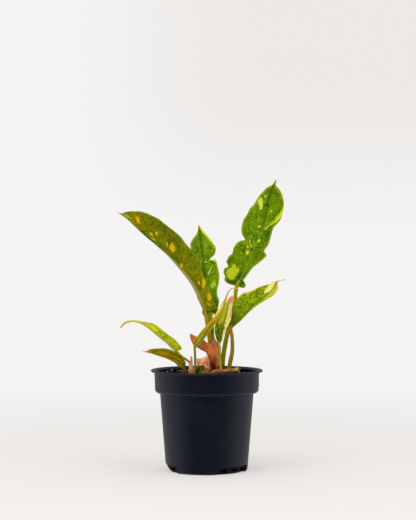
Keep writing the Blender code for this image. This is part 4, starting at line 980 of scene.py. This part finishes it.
def wear_and_shade_group():
    """Fine scratches, dust and a moulded grain on plastic: noise stretched along the height, soft
    clouds, and specks of soil. Painted shade turns the plastic near black, rougher and less glossy where the shade
    input is high."""
    group, given, result = new_group(
        "Moulded Wear And Painted Shade",
        {"Place": "Vector", "Plastic": "Color", "Dust": "Color", "Dustiness": "Float", "Painted Shade": "Float"},
        {"Color": "Color", "Roughness": "Float", "Height": "Float", "Gloss": "Float"})
    tall = add(group, "ShaderNodeMapping", {"Vector": given["Place"], "Scale": (1.0, 1.0, 0.06)})
    streak = noise(group, tall, 260, 3, 0.6)
    cloud = noise(group, given["Place"], 28, 4, 0.6)
    grain = noise(group, given["Place"], 1500, 2, 0.5)
    specks = add(group, "ShaderNodeTexVoronoi", {"Vector": given["Place"], "Scale": 190.0}).node
    speck = maths(group, "MULTIPLY", band(group, specks.outputs["Distance"], 0.16, 0.06), band(
        group, add(group, "ShaderNodeSeparateColor", {0: specks.outputs["Color"]}), 0.86, 0.9))
    dusty = maths(group, "MULTIPLY", band(group, cloud, 0.45, 0.75), given["Dustiness"])
    dusty = maths(group, "ADD", dusty, maths(group, "MULTIPLY", speck, 0.3))
    dusty = maths(group, "ADD", dusty, maths(group, "MULTIPLY", band(group, streak, 0.5, 0.8), 0.06))
    worn = mix(group, dusty, given["Plastic"], given["Dust"])
    # painted shade: the colour is mixed to near black by the shade input from the pot's mesh, darkening the inside wall
    # and drain recesses as if in shadow; the lines below also make them rougher and less glossy
    group.links.new(mix(group, given["Painted Shade"], worn, colour(0.002, 0.0018, 0.0016)), result["Color"])
    satin = maths(group, "ADD", 0.3, maths(group, "MULTIPLY", cloud, 0.14))
    satin = maths(group, "ADD", satin, maths(group, "MULTIPLY", given["Painted Shade"], 0.5))
    group.links.new(maths(group, "ADD", satin, maths(group, "MULTIPLY", streak, 0.1)), result["Roughness"])
    group.links.new(maths(group, "MULTIPLY", maths(group, "SUBTRACT", 1.0, given["Painted Shade"]), 0.55), result["Gloss"])
    height = maths(group, "ADD", maths(group, "MULTIPLY", streak, 0.7), maths(group, "MULTIPLY", grain, 0.3))
    group.links.new(height, result["Height"])
    return group


def earth_group():
    """Colour, roughness and height of crumbs, bark and grains from noise at two sizes and the
    piece's own tone."""
    group, given, result = new_group(
        "Crumbly Grain", {"Place": "Vector", "Tone": "Float", "Dark": "Color", "Light": "Color", "Fleck": "Color"},
        {"Color": "Color", "Roughness": "Float", "Height": "Float"})
    broad = noise(group, given["Place"], 240, 4, 0.65)
    fine = noise(group, given["Place"], 1100, 3, 0.6)
    share = maths(group, "ADD", maths(group, "MULTIPLY", broad, 0.6), maths(group, "MULTIPLY", given["Tone"], 0.5))
    base = mix(group, band(group, share, 0.3, 0.9), given["Dark"], given["Light"])
    base = mix(group, maths(group, "MULTIPLY", band(group, fine, 0.62, 0.72), 0.5), base, given["Fleck"])
    group.links.new(base, result["Color"])
    group.links.new(maths(group, "ADD", 0.75, maths(group, "MULTIPLY", broad, 0.25)), result["Roughness"])
    group.links.new(maths(group, "ADD", broad, fine), result["Height"])
    return group


def finish(name, group, values, bump, distance, shader_values, links=None):
    """A material whose Principled BSDF takes colour, roughness and bumped normal from a group. The
    values are constants on the group's sockets and on the shader's own ones."""
    material = bpy.data.materials.new(name)
    material.use_nodes = True
    tree = material.node_tree
    shader = tree.nodes["Principled BSDF"]
    effect = tree.nodes.new("ShaderNodeGroup")
    effect.node_tree = group
    place = add(tree, "ShaderNodeTexCoord", out="Object")
    tree.links.new(place, effect.inputs["Place"])
    for socket, (attribute, output) in (links or {}).items():
        source = add(tree, "ShaderNodeAttribute", out=output, attribute_name=attribute)
        tree.links.new(source, effect.inputs[socket])
    for socket, value in values.items():
        effect.inputs[socket].default_value = value
    for socket, value in shader_values.items():
        shader.inputs[socket].default_value = value
    relief = add(tree, "ShaderNodeBump", {"Strength": bump, "Distance": distance, "Height": effect.outputs["Height"]})
    tree.links.new(effect.outputs["Color"], shader.inputs["Base Color"])
    tree.links.new(effect.outputs["Roughness"], shader.inputs["Roughness"])
    tree.links.new(relief, shader.inputs["Normal"])
    if "Gloss" in effect.outputs:
        tree.links.new(effect.outputs["Gloss"], shader.inputs["Coat Weight"])
    return material


LEAF_LINKS = {
    "Leaf Place": ("leaf_place", "Vector"), "Leaf Vein": ("leaf_vein", "Vector"),
    "Gold Field": ("leaf_gold", "Fac"), "Cream Field": ("leaf_cream", "Fac"),
    "Lime Field": ("leaf_lime", "Fac"), "Blush Field": ("leaf_blush", "Fac"),
    "Mottle Field": ("leaf_mottle", "Fac"),
}

LEAF_FINISH = {
    "Deep": colour(0.025, 0.08, 0.0005), "Bright": colour(0.145, 0.275, 0.001),
    "Under": colour(0.07, 0.11, 0.001), "Under Bright": colour(0.18, 0.24, 0.003),
    "Rib": colour(0.24, 0.36, 0.03), "Margin": colour(0.4, 0.46, 0.008),
    "Gold": colour(0.76, 0.62, 0.004), "Cream": colour(0.5, 0.56, 0.04), "Lime": colour(0.4, 0.47, 0.012),
    "Blush": colour(0.72, 0.3, 0.08), "Stalk": colour(0.14, 0.2, 0.004), "Stalk Edge": colour(0.36, 0.32, 0.006),
    "Speckles And Glints": 0.5, "Margin Width": 2.6, "Rib Reach": 0.85, "Rib Spread": 0.01, "Foot Shade": 0.2,
    "Mottling": 0.35, "Raggedness": 0.75,
}

LEAF_KINDS = {
    "Olive Leaf": {
        "Deep": colour(0.05, 0.1, 0.001), "Bright": colour(0.13, 0.18, 0.002),
        "Under": colour(0.055, 0.1, 0.0005), "Under Bright": colour(0.23, 0.225, 0.001),
        "Rib": colour(0.36, 0.29, 0.08), "Margin": colour(0.34, 0.3, 0.008), "Gold": colour(0.68, 0.46, 0.003),
        "Cream": colour(0.46, 0.45, 0.01), "Lime": colour(0.3, 0.23, 0.002), "Blush": colour(0.5, 0.18, 0.03),
        "Stalk": colour(0.24, 0.21, 0.004), "Stalk Edge": colour(0.5, 0.27, 0.01), "Margin Width": 1.6,
        "Rib Reach": 0.7, "Rib Spread": 2.6, "Speckles And Glints": 0.4, "Mottling": 0.8},
    "Glossy Green Leaf": {
        "Deep": colour(0.022, 0.088, 0.0005), "Bright": colour(0.155, 0.28, 0.001), "Rib": colour(0.13, 0.23, 0.02),
        "Cream": colour(0.6, 0.68, 0.14), "Lime": colour(0.42, 0.54, 0.02), "Blush": colour(0.65, 0.4, 0.02),
        "Margin": colour(0.42, 0.5, 0.008), "Rib Reach": 0.45, "Speckles And Glints": 0.9, "Mottling": 0.25},
    "Deep Green Leaf": {
        "Deep": colour(0.022, 0.072, 0.0005), "Bright": colour(0.13, 0.25, 0.001), "Cream": colour(0.58, 0.62, 0.045),
        "Lime": colour(0.44, 0.51, 0.01), "Margin Width": 3.2, "Rib": colour(0.17, 0.28, 0.025),
        "Rib Reach": 0.68, "Stalk": colour(0.19, 0.2, 0.004), "Stalk Edge": colour(0.4, 0.31, 0.01),
        "Raggedness": 0.45},
    "Bright Green Leaf": {
        "Deep": colour(0.045, 0.1, 0.001), "Bright": colour(0.22, 0.34, 0.002), "Rib": colour(0.1, 0.12, 0.004),
        "Under": colour(0.4, 0.46, 0.14), "Under Bright": colour(0.6, 0.64, 0.33),
        "Margin": colour(0.5, 0.42, 0.01), "Cream": colour(0.78, 0.7, 0.2), "Lime": colour(0.42, 0.48, 0.006),
        "Gold": colour(0.66, 0.42, 0.01), "Blush": colour(0.75, 0.38, 0.16), "Stalk": colour(0.22, 0.15, 0.006),
        "Stalk Edge": colour(0.42, 0.24, 0.015), "Rib Reach": 1.3, "Foot Shade": 0.2, "Speckles And Glints": 0.2,
        "Margin Width": 1.6, "Mottling": 0.5},
    "Cream Leaf": {
        "Deep": colour(0.03, 0.075, 0.0005), "Bright": colour(0.17, 0.26, 0.002), "Rib": colour(0.14, 0.2, 0.008),
        "Cream": colour(0.8, 0.68, 0.2), "Gold": colour(0.46, 0.44, 0.01), "Lime": colour(0.5, 0.5, 0.02),
        "Blush": colour(0.8, 0.26, 0.15),
        "Margin": colour(0.55, 0.5, 0.06), "Stalk": colour(0.26, 0.3, 0.006), "Stalk Edge": colour(0.48, 0.4, 0.02),
        "Margin Width": 1.2, "Rib Reach": 1.3, "Foot Shade": 0.45, "Mottling": 0.6},
    "Golden Leaf": {
        "Deep": colour(0.14, 0.17, 0.001), "Bright": colour(0.4, 0.34, 0.002),
        "Under": colour(0.14, 0.15, 0.001), "Under Bright": colour(0.42, 0.33, 0.002),
        "Rib": colour(0.45, 0.36, 0.02), "Gold": colour(0.56, 0.38, 0.003), "Blush": colour(0.64, 0.33, 0.04),
        "Cream": colour(0.8, 0.62, 0.16), "Lime": colour(0.44, 0.4, 0.006), "Margin": colour(0.5, 0.38, 0.015),
        "Stalk": colour(0.13, 0.18, 0.004),
        "Stalk Edge": colour(0.3, 0.27, 0.008), "Speckles And Glints": 0.3, "Margin Width": 1.2, "Mottling": 0.6},
    "Lime Leaf": {
        "Deep": colour(0.15, 0.29, 0.001), "Bright": colour(0.44, 0.56, 0.002),
        "Under": colour(0.22, 0.33, 0.001), "Under Bright": colour(0.5, 0.58, 0.002),
        "Rib": colour(0.5, 0.52, 0.12), "Gold": colour(0.8, 0.74, 0.004), "Lime": colour(0.7, 0.72, 0.01),
        "Blush": colour(0.56, 0.3, 0.02), "Margin": colour(0.46, 0.5, 0.006), "Stalk": colour(0.3, 0.32, 0.003),
        "Stalk Edge": colour(0.56, 0.46, 0.008), "Margin Width": 1.5, "Rib Spread": 2.0, "Speckles And Glints": 0.9,
        "Cream": colour(0.6, 0.62, 0.1), "Mottling": 0.8},
    "Bronze Leaf": {
        "Deep": colour(0.15, 0.17, 0.003), "Bright": colour(0.26, 0.23, 0.004),
        "Under": colour(0.11, 0.12, 0.001), "Under Bright": colour(0.42, 0.28, 0.002),
        "Rib": colour(0.36, 0.22, 0.01), "Gold": colour(0.56, 0.34, 0.003), "Lime": colour(0.36, 0.3, 0.003),
        "Blush": colour(0.62, 0.34, 0.01), "Margin": colour(0.36, 0.28, 0.006), "Stalk": colour(0.09, 0.1, 0.002),
        "Stalk Edge": colour(0.28, 0.18, 0.006), "Speckles And Glints": 0.3, "Margin Width": 1.5, "Cream": colour(0.5, 0.42, 0.03),
        "Mottling": 0.5},
}

SHEATH_KINDS = {
    "Salmon Sheath": {
        "Flesh": colour(0.8, 0.23, 0.025), "Ridge": colour(0.24, 0.035, 0.004), "Pale": colour(0.92, 0.42, 0.15),
        "Foot": colour(0.04, 0.008, 0.003), "Tip": colour(0.62, 0.28, 0.05), "Ridges": 6.5, "Foot Reach": 0.52,
        "Tip Start": 0.8},
    "Dusty Pink Sheath": {
        "Flesh": colour(0.64, 0.19, 0.07), "Ridge": colour(0.44, 0.09, 0.03), "Pale": colour(0.8, 0.36, 0.2),
        "Foot": colour(0.12, 0.02, 0.006), "Tip": colour(0.8, 0.38, 0.24), "Ridges": 3.0, "Foot Reach": 0.4,
        "Tip Start": 0.8},
    "Pale Pink Sheath": {
        "Flesh": colour(0.9, 0.36, 0.16), "Ridge": colour(0.58, 0.15, 0.05), "Pale": colour(0.98, 0.64, 0.43),
        "Foot": colour(0.42, 0.12, 0.03), "Tip": colour(0.94, 0.54, 0.34), "Ridges": 2.0, "Foot Reach": 0.5,
        "Tip Start": 0.75},
    "Cut Petiole": {
        "Flesh": colour(0.24, 0.09, 0.03), "Ridge": colour(0.32, 0.1, 0.06), "Pale": colour(0.36, 0.28, 0.06),
        "Foot": colour(0.1, 0.06, 0.01), "Tip": colour(0.5, 0.44, 0.09), "Ridges": 1.4, "Foot Reach": 0.4,
        "Tip Start": 0.8},
    "Stem Bark": {
        "Flesh": colour(0.07, 0.018, 0.012), "Ridge": colour(0.02, 0.005, 0.004), "Pale": colour(0.16, 0.05, 0.03),
        "Foot": colour(0.02, 0.01, 0.006), "Tip": colour(0.1, 0.03, 0.02), "Ridges": 2.0, "Foot Reach": 0.4,
        "Tip Start": 0.9},
    "Yellow Green Scrap": {
        "Flesh": colour(0.34, 0.36, 0.01), "Ridge": colour(0.2, 0.24, 0.004), "Pale": colour(0.5, 0.48, 0.05),
        "Foot": colour(0.2, 0.16, 0.01), "Tip": colour(0.42, 0.38, 0.02), "Ridges": 2.0, "Foot Reach": 0.2,
        "Tip Start": 0.9},
    "Olive Scrap": {
        "Flesh": colour(0.07, 0.06, 0.005), "Ridge": colour(0.02, 0.02, 0.002), "Pale": colour(0.24, 0.13, 0.02),
        "Foot": colour(0.02, 0.016, 0.003), "Tip": colour(0.2, 0.12, 0.02), "Ridges": 2.0, "Foot Reach": 0.3,
        "Tip Start": 0.8},
    "Tan Scrap": {
        "Flesh": colour(0.42, 0.17, 0.03), "Ridge": colour(0.2, 0.07, 0.01), "Pale": colour(0.6, 0.36, 0.12),
        "Foot": colour(0.12, 0.05, 0.01), "Tip": colour(0.6, 0.4, 0.15), "Ridges": 2.0, "Foot Reach": 0.3,
        "Tip Start": 0.8},
    "Maroon Bract": {
        "Flesh": colour(0.16, 0.03, 0.01), "Ridge": colour(0.05, 0.01, 0.004), "Pale": colour(0.32, 0.09, 0.03),
        "Foot": colour(0.03, 0.008, 0.003), "Tip": colour(0.4, 0.14, 0.05), "Ridges": 2.0, "Foot Reach": 0.3,
        "Tip Start": 0.7},
}


def make_materials():
    """Every finish of the part, by name."""
    leaf, sheath, wear_and_shade, earth = leaf_group(), sheath_group(), wear_and_shade_group(), earth_group()
    made = {}
    for name, values in LEAF_KINDS.items():
        made[name] = finish(name, leaf, {**LEAF_FINISH, **values}, 0.5, 0.0005,
                            {"Specular IOR Level": 0.18, "Specular Tint": colour(1.0, 0.95, 0.06)}, LEAF_LINKS)
    for name, values in SHEATH_KINDS.items():
        made[name] = finish(name, sheath, values, 0.6, 0.0007,
                            {"Specular IOR Level": 0.14, "Specular Tint": colour(1.0, 0.7, 0.4)},
                            {"Leaf Place": ("leaf_place", "Vector")})
    made["Pot Plastic"] = finish(
        "Pot Plastic", wear_and_shade,
        {"Plastic": colour(0.003, 0.005, 0.012), "Dust": colour(0.045, 0.045, 0.05), "Dustiness": 0.06},
        0.12, 0.0002, {"Specular IOR Level": 0.0, "Coat Roughness": 0.4}, {"Painted Shade": ("painted_shade", "Fac")})
    tone = {"Tone": ("tone", "Fac")}
    made["Potting Mix"] = finish(
        "Potting Mix", earth,
        {"Dark": colour(0.003, 0.0022, 0.0016), "Light": colour(0.009, 0.006, 0.004), "Fleck": colour(0.034, 0.022, 0.013)},
        0.8, 0.0006, {"Specular IOR Level": 0.0}, tone)
    made["Bark Chips"] = finish(
        "Bark Chips", earth,
        {"Dark": colour(0.006, 0.0035, 0.002), "Light": colour(0.05, 0.026, 0.012), "Fleck": colour(0.12, 0.07, 0.035)},
        0.7, 0.0005, {"Specular IOR Level": 0.05}, tone)
    made["Perlite"] = finish(
        "Perlite", earth,
        {"Dark": colour(0.3, 0.27, 0.22), "Light": colour(0.75, 0.72, 0.66), "Fleck": colour(0.2, 0.15, 0.1)},
        0.6, 0.0004, {"Specular IOR Level": 0.3}, tone)
    return made


def floor_material():
    """Pale floor: near the pot lit and also glowing, a painted light that weakens its shadows, and far away a glow of
    the backdrop's own brightness.
    """
    material = bpy.data.materials.new("Pale Floor")
    material.use_nodes = True
    tree = material.node_tree
    shader = tree.nodes["Principled BSDF"]
    place = add(tree, "ShaderNodeTexCoord", out="Object")
    far = band(tree, add(tree, "ShaderNodeVectorMath", {0: place}, 1, operation="LENGTH"), 0.16, 1.1)
    tree.links.new(mix(tree, far, colour(0.42, 0.408, 0.396), colour(0, 0, 0)), shader.inputs["Base Color"])
    # painted light: near the pot the floor glows at a set brightness on top of its lit colour, which fills in its
    # contact shadow
    tree.links.new(mix(tree, far, colour(0.39, 0.377, 0.366), colour(*BACKDROP)), shader.inputs["Emission Color"])
    shader.inputs["Emission Strength"].default_value = 1.0
    shader.inputs["Roughness"].default_value = 0.9
    shader.inputs["Specular IOR Level"].default_value = 0.0
    return material


# ---------------------------------------------------------------------------- studio
BACKDROP = (0.905, 0.9, 0.895)
# colour of the backdrop inside its painted soft shadow
WARM_SHADED_BACKDROP = (0.84, 0.81, 0.79)
CAMERA_PLACE = (0.0013, -1.8, 0.2398)
CAMERA_PITCH = 0.467
CAMERA_LENS = 116.4


def make_floor():
    """A wide round floor as rings about the origin."""
    turn = np.arange(96) * 2 * math.pi / 96
    reach = np.array([0.02, 0.1, 0.3, 0.6, 1.0, 1.5, 2.2, 4.0, 12.0, 60.0])[:, None]
    points = np.stack([reach * np.cos(turn), reach * np.sin(turn), 0 * reach * turn], axis=-1)
    grid = np.arange(points.shape[0] * 96).reshape(-1, 96)
    beside = np.roll(grid, -1, axis=1)
    faces = np.stack([grid[:-1], grid[1:], beside[1:], beside[:-1]], axis=-1).reshape(-1, 4).tolist()
    mesh = bpy.data.meshes.new("floor")
    mesh.from_pydata(points.reshape(-1, 3), [], faces + [list(range(96))])
    mesh.materials.append(floor_material())
    floor = bpy.data.objects.new("floor", mesh)
    bpy.context.scene.collection.objects.link(floor)
    floor.visible_glossy = False


def make_light(name, place, size, power, mirrored=True):
    """A square area light that faces the plant's middle, with or without a reflection of itself."""
    data = bpy.data.lights.new(name, "AREA")
    data.shape = "SQUARE"
    data.size = size
    data.energy = power
    light = bpy.data.objects.new(name, data)
    light.location = place
    light.visible_glossy = mirrored
    aim = Vector((0, 0, 0.15)) - Vector(place)
    light.rotation_euler = aim.to_track_quat("-Z", "Y").to_euler()
    bpy.context.scene.collection.objects.link(light)


def make_world():
    """The room: what the camera sees is the pale backdrop, with a painted soft shadow that makes it
    darker and warmer towards the upper right, and what lights the plant is bright at the sides, behind and above, and
    dim in front."""
    world = bpy.data.worlds.new("room")
    bpy.context.scene.world = world
    world.use_nodes = True
    tree = world.node_tree
    background = tree.nodes["Background"]
    split = add(tree, "ShaderNodeSeparateXYZ", {0: add(tree, "ShaderNodeTexCoord", out="Generated")}).node.outputs
    front = maths(tree, "MULTIPLY", band(tree, split[1], 0.0, -0.8), band(tree, split[2], 0.75, 0.35))
    room = mix(tree, front, colour(0.85, 0.85, 0.86), colour(0.06, 0.075, 0.105))
    seen = add(tree, "ShaderNodeLightPath", out="Is Camera Ray")
    # painted shade: camera rays toward the upper right see a darker, warmer backdrop, a painted soft shadow
    warm_shade = maths(tree, "MULTIPLY", band(tree, split[2], 0.0, 0.1), band(tree, split[0], -0.09, 0.03))
    paper = mix(tree, warm_shade, colour(*BACKDROP), colour(*WARM_SHADED_BACKDROP))
    tree.links.new(mix(tree, seen, room, paper), background.inputs["Color"])


def make_camera():
    data = bpy.data.cameras.new("camera")
    data.lens = CAMERA_LENS
    data.clip_end = 200.0
    camera = bpy.data.objects.new("camera", data)
    camera.location = CAMERA_PLACE
    camera.rotation_euler = (math.radians(90 - CAMERA_PITCH), 0, 0)
    bpy.context.scene.collection.objects.link(camera)
    bpy.context.scene.camera = camera


def make_stalk(name, stalk, levels, sides, uneven, material):
    rings, marks, zero = stalk_rings(stalk, levels, sides, uneven)
    points = rings.reshape(-1, 3)
    faces = outward(points, ring_faces(levels, sides))
    return mesh_piece(name + "_fine", points, faces, material, name,
                      attributes={"leaf_place": marks.reshape(-1, 7)[:, :3]})


def make_soil(materials):
    rings = soil_rings()
    levels, sides = rings.shape[:2]
    points = rings.reshape(-1, 3)
    faces = outward(points, ring_faces(levels, sides))
    tone = 0.5 + 0.3 * roughness_field(points, 3, 41)
    mesh_piece("potting_mix", points, faces, materials["Potting Mix"], "soil", attributes={"tone": tone})
    for name, finish_name, bits in (
        ("soil_crumbs", "Potting Mix", scattered(900, (0.5, 1.6), (1, 1, 0.7), 51)),
        ("bark_chips", "Bark Chips", scattered(330, (0.6, 1.9), (1.6, 0.8, 0.35), 52, lift=0.2)),
        ("perlite_grains", "Perlite", scattered(80, (0.5, 1.15), (1, 1, 0.9), 53, lift=0.4)),
    ):
        points, faces, tone = bits
        mesh_piece(name, points, faces, materials[finish_name], attributes={"tone": tone})


def main():
    materials = make_materials()
    points, faces, painted_shade = make_pot()
    mesh_piece("pot_shell", points, faces, materials["Pot Plastic"], "pot", attributes={"painted_shade": painted_shade})
    make_soil(materials)
    make_stalk("stem", STEM, 70, 32, 0.12, materials["Stem Bark"])
    make_stalk("cut_petiole", CUT_PETIOLE, 120, 28, 0.05, materials["Cut Petiole"])
    for leaf in LEAVES + SHEATHS:
        make_leaf(leaf, materials)
    for scrap in SCRAPS:
        make_scrap(*scrap, materials)
    make_floor()
    make_world()
    make_light("key", (-1.1, -1.3, 2.1), 1.4, 20)
    make_light("fill", (1.3, -1.2, 1.9), 1.4, 12)
    make_light("front", (-0.3, -2.2, 0.7), 1.2, 14, mirrored=False)
    make_camera()
    bpy.context.scene.view_settings.view_transform = "Standard"


main()
